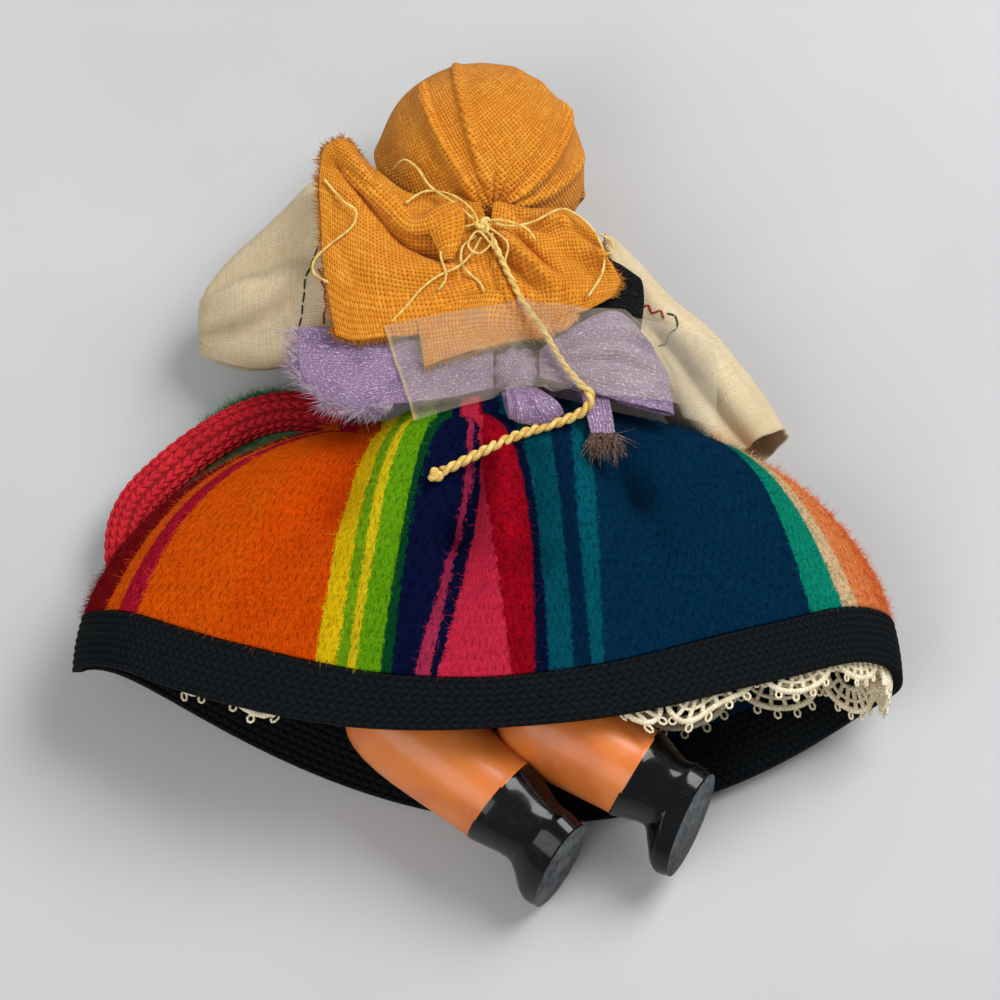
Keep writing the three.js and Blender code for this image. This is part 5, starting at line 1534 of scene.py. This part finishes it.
def knitted_red():
    """Knitted red braid, whose stitches are in its shape too, dark in the grooves between its loops."""
    w = Finish("knitted red braid", Roughness=0.85, Specular_IOR_Level=0.15)
    x, y, _ = w.split(w.chart)
    fibre = w.speck(w.join(w.times(x, 1.2), w.times(y, 3.0)), 2.0, 3.0, 0.6)
    turns = w.sum("MULTIPLY_ADD", w.from_middle(y), KNIT_SLANT, w.divide(x, KNIT_PITCH))
    groove = w.step(w.times(w.ridges(turns), w.ridges(y)), 0.42, 0.06)
    base = w.blend(w.step(fibre, 0.3, 0.7), colour(180, 18, 32), colour(230, 50, 58))
    base = w.blend(w.times(groove, 0.75), base, colour(104, 6, 16))
    return w.feed(Base_Color=w.blend(w.times(w.marks(0.01)["Soil"], 0.35), base, colour(118, 12, 26)),
                  Normal=w.bump(fibre, 0.5, 0.15))


def apron_place(u, v):
    """The apron, whose edge lies under the braid where the braid runs along the hem's side."""
    under_braid = 0.22 * smooth(u, 0.25, 0.45)
    rails = between_rails([APRON_OUTER, APRON_INNER, APRON_MIDDLE, APRON_RIGHT])
    point = rails(u, mix(under_braid / 3, 1, v))
    point[:, 2] = np.maximum(point[:, 2], 0.4)
    return point


def red_braid_place(u, v):
    """A flat tube along the apron's edge with the relief of its knitted loops, rounded in at both ends."""
    outer, inner = np.array(APRON_OUTER, float), np.array(APRON_INNER, float)
    middle = mix(outer, inner, 0.57)
    side = unit(through(unit(inner - outer), u))
    along = unit(through(middle, np.minimum(u + 0.01, 1)) - through(middle, np.maximum(u - 0.01, 0)))
    side = unit(side - along * np.sum(side * along, axis=1, keepdims=True))
    up = np.cross(side, along)
    up = up * np.sign(up[:, 2:3])
    ends = np.sqrt(np.maximum(0, 1 - np.maximum(0, np.abs(u - 0.5) * 2 - 0.985) ** 2 / 0.015 ** 2))
    columns = v * KNIT_COLUMNS
    slant = np.abs((columns % 1) - 0.5)
    loops = np.abs(np.sin(np.pi * (u * RED_LONG / KNIT_PITCH + slant * KNIT_SLANT)))
    relief = 0.4 * loops ** 0.8 * np.abs(np.sin(np.pi * columns)) ** 0.7 * ends
    turn = 2 * math.pi * v
    across = (RED_WIDE * ends + relief) * np.sign(np.cos(turn)) * np.abs(np.cos(turn)) ** 0.8
    high = (RED_HIGH * ends + relief) * np.sin(turn)
    return through(middle, u) + np.array([0, 0, RED_LIFT]) + side * across[:, None] + up * high[:, None]


def add_apron():
    wool = green_wool()
    apron = dress(sheet("apron_cloth", apron_place, 110, 80, 0.6), wool, "apron_wool", "apron")
    nap = fringe("apron_nap", apron_place, (0, 0, 0.36, 0, 0, -1), 900, (0.6, 1.9), wool, "apron_wool", 0.05,
                 spread=0.5, lift=0.5)
    braid = sheet("red_knitted_braid", red_braid_place, 420, 112, closed=True,
                  chart=lambda u, v, points: np.stack([u * RED_LONG, v * KNIT_COLUMNS], axis=-1))
    dress(braid, knitted_red(), "red_braid", "apron_braid")


# Headscarf
HEAD = np.array(HEAD_MIDDLE)
HEAD_R, CAP_CLEAR = 15.5, 0.9
# How far the cap comes down from the crown, how much less at the neck, and how wide that opening is
CAP_DOWN, NECK_RISE, NECK_WIDE = math.radians(126), math.radians(48), 0.62
NAPE = unit(np.array([0.11, -0.78, 0.61]))
PLEATS = [
    # Each pleat: where it ends on the crown, its height and width, how far it bows,
    # and its lap, which is a step on one side
    ((-12.4, 61, 30), 1.9, 1.3, 0.5, 0.9), ((-7.2, 65, 27), 1.2, 1.0, 0.5, -0.8),
    ((11, 60, 25), 1.5, 1.3, -0.6, -0.9), ((2.5, 66, 24), 0.45, 1.6, 0.2, 0.3),
    ((-19, 54, 20), 1.0, 1.8, 0.3, 0.5), ((14, 52, 22), 0.8, 1.4, -0.3, -0.6),
    ((7, 64, 25), 0.5, 1.0, -0.3, 0.4),
]


def near_nape(direction):
    """How far each direction from the head's middle is from the nape, and where it is round the nape."""
    side = unit(np.cross(NAPE, np.array([0, 0, 1.0])))
    about = np.arctan2(direction @ np.cross(side, NAPE), direction @ side)
    return np.arccos(np.clip(direction @ NAPE, -1, 1)), about


def pleat_lift(direction):
    reach = near_nape(direction)[0]
    total = np.zeros(len(direction))
    for crown, height, width, bow, lap in PLEATS:
        towards = unit(np.array(crown) - HEAD)
        plane = unit(np.cross(NAPE, towards))
        end = math.acos(float(towards @ NAPE)) * 1.15
        same = (direction - NAPE) @ (towards - NAPE) > 0
        aside = (direction @ plane * HEAD_R - bow * 1.5 * np.sin(np.pi * np.clip(reach / end, 0, 1))) / width
        edge = 1 / (1 + np.exp(-aside * 9 * np.sign(lap)))
        lapped = np.exp(-aside ** 2) * mix(1, edge, min(abs(lap), 1))
        fade = smooth(reach, 0.12, 0.4) * (1 - smooth(reach, end * 0.75, end))
        total += np.where(same, height * lapped * fade, 0)
    return total


def scarf_cap_place(u, v):
    turn = 2 * math.pi * u
    away = np.abs((u - 0.75 + 0.5) % 1 - 0.5) * 2 * math.pi
    down = v * (CAP_DOWN - NECK_RISE * np.exp(-(away / NECK_WIDE) ** 2))
    direction = xyz(np.sin(down) * np.cos(turn), np.sin(down) * np.sin(turn), np.cos(down))
    near, about = near_nape(direction)
    gathers = 0.34 * np.exp(-((near - 0.2) / 0.22) ** 2) * np.sin(17 * about)
    slack = 0.16 * np.sin(5 * turn + 4 * down) * np.sin(3 * down)
    radius = HEAD_R + CAP_CLEAR + pleat_lift(direction) + gathers + slack
    return HEAD + direction * radius[:, None]


def scarf_chart(u, v, points):
    near, about = near_nape(unit(points - HEAD))
    far = near * (HEAD_R + CAP_CLEAR)
    return np.stack([far * np.cos(about + 0.5), far * np.sin(about + 0.5)], axis=-1)


LEFT_END = [
    [(-3.5, 40, 29.6), (-9, 39.6, 30.2), (-14.5, 39.6, 31.2), (-18.6, 42.2, 32.2), (-21.4, 44.4, 33),
     (-24.2, 47.8, 33.8)],
    [(-2.5, 36.5, 29.4), (-9, 36, 30.4), (-15, 36.4, 31.6), (-19.4, 39.2, 33), (-23.3, 42.8, 34),
     (-27.4, 46.4, 33.8)],
    [(-2, 33.5, 29.4), (-9, 31.6, 30.2), (-15.6, 32.4, 31.2), (-21, 36.8, 32), (-25, 40.6, 32.8),
     (-28.4, 42.4, 33.2)],
    [(-1.4, 29.4, 29.6), (-8.6, 28, 30.2), (-15.4, 28.4, 31), (-21, 31, 31.8), (-25, 33, 32.2),
     (-28.2, 35.4, 32.6)],
    [(-0.4, 25.6, 29.6), (-7.6, 23, 30.2), (-14.4, 22.6, 30.8), (-20.6, 23.4, 31.2), (-24.6, 24.6, 31.6),
     (-27.6, 27.2, 31.9)],
    [(0.6, 22.4, 29.6), (-6, 18.4, 30), (-13, 15.6, 30.2), (-19, 14.9, 30.4), (-22.6, 14.4, 30.5),
     (-25.6, 15.2, 30.7)],
]
LEFT_FOLDS = [
    (0.98, 0.1, 0.62, 0.2, 0.05, 0.9), (0.9, 0.28, 0.4, 0.42, 0.045, -1.2),
    (0.42, 0.44, 0.16, 0.5, 0.06, -2.2), (0.3, 0.5, 0.1, 0.62, 0.05, -1.4),
    (0.1, 0.62, 0.6, 0.74, 0.06, 0.8), (0.05, 0.75, 0.5, 0.92, 0.05, 0.5),
    (0.7, 0.55, 0.95, 0.9, 0.09, 0.5), (0.55, 0.85, 0.9, 0.65, 0.06, -0.4),
    (0.05, 0.68, 0.45, 0.84, 0.04, -0.6), (0.62, 0.4, 0.98, 0.5, 0.05, 0.4),
    (0.8, 0.3, 0.98, 0.36, 0.03, -0.4),
]
RIGHT_END = [
    [(-1, 39.4, 28.9), (4.7, 37.6, 29.6), (9.5, 37.4, 30), (12.6, 36, 29.4)],
    [(-1.5, 34.4, 29.4), (5, 33.4, 30.2), (10.5, 34.2, 30.4), (15.4, 32.8, 29.3)],
    [(-1.5, 30, 29.4), (5.6, 28.8, 30.2), (11.5, 29.4, 30.2), (16.6, 29, 28.8)],
    [(-1, 25, 29.6), (6.6, 24, 30.2), (13, 25, 29.8), (18.8, 25.6, 28.4)],
    [(0, 19.5, 29.4), (7, 18.4, 29.8), (12.4, 19.6, 29.4), (17.4, 22.7, 28.4)],
]
RIGHT_FOLDS = [
    (0.04, 0.38, 0.3, 0.8, 0.05, 1.1), (0.12, 0.3, 0.42, 0.78, 0.05, -1.9),
    (0.16, 0.2, 0.5, 0.72, 0.04, 1.0), (0.42, 0.14, 0.7, 0.22, 0.06, -1.4),
    (0.84, 0.46, 0.92, 0.56, 0.08, -2.4), (0.55, 0.4, 0.8, 0.75, 0.1, 0.9),
    (0.03, 0.55, 0.15, 0.98, 0.05, -0.9), (0.2, 0.1, 0.5, 0.3, 0.05, 0.9),
    (0.3, 0.5, 0.66, 0.95, 0.05, -0.7), (0.7, 0.25, 0.95, 0.36, 0.06, 0.8),
]
BACK_POINT = [
    [(-14, 22, 30.6), (-6, 22.6, 30.4), (0, 23, 30.2), (12.5, 19, 29.8)],
    [(-12.5, 15, 30.5), (-6, 16.2, 30.2), (-1, 16.8, 29.9), (11, 16.4, 29.6)],
    [(-11.8, 9.8, 30.4), (-5, 12.4, 30.2), (2.5, 14.6, 29.9), (9.3, 15.4, 29.7)],
]
FOLD_ROLL = [
    (-24.6, 46.8, 33.9), (-23.2, 42.9, 33.9), (-20.1, 39.6, 33.5), (-17, 36.7, 33), (-14.4, 33.8, 32.8),
    (-11.8, 33.6, 33.1), (-9.1, 35.1, 33), (-6.4, 36.8, 32.2),
]
FLAP = [
    [(-6.2, 37, 32.3), (-5.6, 33.4, 31.8), (-7.4, 28, 31)],
    [(-9.2, 35.1, 33.1), (-8.8, 32, 32.4), (-8.2, 28, 31.2)],
    [(-11.9, 33.5, 32.9), (-10.4, 30.8, 32), (-8.8, 27.8, 31.1)],
]
BACK_FOLDS = [(0.2, 0.1, 0.8, 0.2, 0.1, 0.2), (0.1, 0.5, 0.6, 0.7, 0.08, 0.2)]
FLAP_FOLDS = [(0.1, 0.5, 0.9, 0.5, 0.3, 0.4)]
SCARF_CLEAR, SCARF_THICK = 0.75, 0.7
ROLL_WIDE, ROLL_FLAT, ROLL_SUNK = 1.6, 0.62, 0.9


def roll_place(u, v):
    """The kerchief's edge rolled over, part of the way round a flattened tube."""
    along = unit(through(FOLD_ROLL, np.minimum(u + 0.01, 1)) - through(FOLD_ROLL, np.maximum(u - 0.01, 0)))
    side = unit(np.cross(along, np.array([0, 0, 1.0])))
    up = np.cross(side, along)
    turn = mix(-0.25 * math.pi, 1.2 * math.pi, v)
    wide = ROLL_WIDE - 0.5 * np.abs(u - 0.35) + 0.5 * smooth(u, 0.6, 1.0)
    across, high = wide * np.cos(turn), wide * ROLL_FLAT * np.sin(turn) - ROLL_SUNK
    return through(FOLD_ROLL, u) - side * across[:, None] + up * high[:, None]


def add_headscarf(under):
    cotton = woven("golden scarf cotton", colour(232, 156, 52), colour(205, 121, 23), colour(142, 68, 6),
                   0.6, 0.55, 0.26)
    frayed = woven("frayed scarf edge", colour(244, 194, 84), colour(220, 156, 46), colour(168, 100, 20),
                   0.5, 0.6, 0.1)
    left_place = raised(between_rails(LEFT_END), LEFT_FOLDS)
    right_place = raised(between_rails(RIGHT_END), RIGHT_FOLDS)
    back_place = raised(between_rails(BACK_POINT), BACK_FOLDS)
    flap_place = raised(between_rails(FLAP), FLAP_FOLDS, sign=-1.0)
    cap = sheet("scarf_cap", scarf_cap_place, 300, 150, 0.8, chart=scarf_chart)
    left, right, back = (laid_sheet(name, place, columns, rows, under, SCARF_CLEAR, SCARF_THICK)
                         for name, place, columns, rows in (
                             ("scarf_left_end", left_place, 140, 120),
                             ("scarf_right_end", right_place, 100, 90),
                             ("scarf_back_point", back_place, 90, 44)))
    roll = sheet("scarf_rolled_edge", roll_place, 110, 22, 0.6)
    flap = sheet("scarf_folded_tip", flap_place, 30, 24, 0.55)
    edges = [
        fringe(f"scarf_{name}_fray", place, line, count, lengths, frayed, "scarf_cotton", radius, 0.4, 0.28)
        for name, place, line, count, lengths, radius in (
            ("left", left_place, (1, 0.02, 1, 1, 1, 0), 620, (0.5, 1.6), 0.075),
            ("low", left_place, (0.5, 1, 1, 1, 0, 1), 260, (0.6, 1.9), 0.075),
            ("top", left_place, (0.8, 0, 1, 0, 0, -1), 130, (0.4, 1.2), 0.07),
            ("right", right_place, (1, 0.3, 1, 1, 1, 0), 360, (0.4, 1.3), 0.07),
            ("point", back_place, (0, 1, 1, 1, 0, 1), 260, (0.4, 1.2), 0.07))
    ]
    for piece in (cap, left, right, back, roll, flap):
        dress(piece, cotton, "scarf_cotton", "headscarf")
    return [left, right, back]


# Clear tape
TAPE_TOP = [
    (-18.1, 16.5, 29), (-8, 19, 29.5), (0.5, 20.6, 30), (7.8, 20.8, 30), (13.9, 20, 29), (23.5, 20, 26),
    (30.5, 19.4, 23.6), (34.5, 18.4, 21.6),
]
TAPE_LEAN = [4.8, 3, 3, 4, 0.4, -1.5, -2, -0.6]
TAPE_WIDE, TAPE_THICK, TAPE_CLEAR = 15, 0.12, 0.35


def clear_film():
    """Clear tape, a little milky and yellowed, more so at its left end, with small wrinkles."""
    w = Finish("clear tape film", Roughness=0.3, Specular_IOR_Level=0.4)
    cloud = w.step(w.speck(w.place, 260.0, 3.0, 0.6), 0.3, 0.75)
    edge = w.step(w.split(w.chart)[0], 1.1, 0.1)
    veil = w.plus(w.times(cloud, 0.05), w.sum("MULTIPLY_ADD", edge, 0.25, 0.1))
    return w.feed(Base_Color=w.blend(edge, colour(196, 186, 162), colour(222, 192, 130)), Alpha=veil,
                  Normal=w.bump(w.speck(w.place, 500.0, 3.0), 0.25, 0.15))


def add_tape(under):
    low = [(x + lean, y - TAPE_WIDE, z) for (x, y, z), lean in zip(TAPE_TOP, TAPE_LEAN)]
    tape = laid_sheet("tape_film", between_rails([TAPE_TOP, low]), 96, 30, under, TAPE_CLEAR, TAPE_THICK,
                      reach=1.1)
    dress(tape, clear_film(), "clear_tape", "tape_strip")


cream = add_torso_clothes()
sash = add_sash()
left_sleeve, right_sleeve = add_sleeves(cream)
add_apron()
scarf_ends = add_headscarf([sash["band"], sash["tail"], sash["loop"], sash["knot"], left_sleeve])
add_tape(scarf_ends + list(sash.values()) + [skirt, right_sleeve, bpy.data.objects["twisted_cord_plies"],
                                             bpy.data.objects["felt_vest"]])
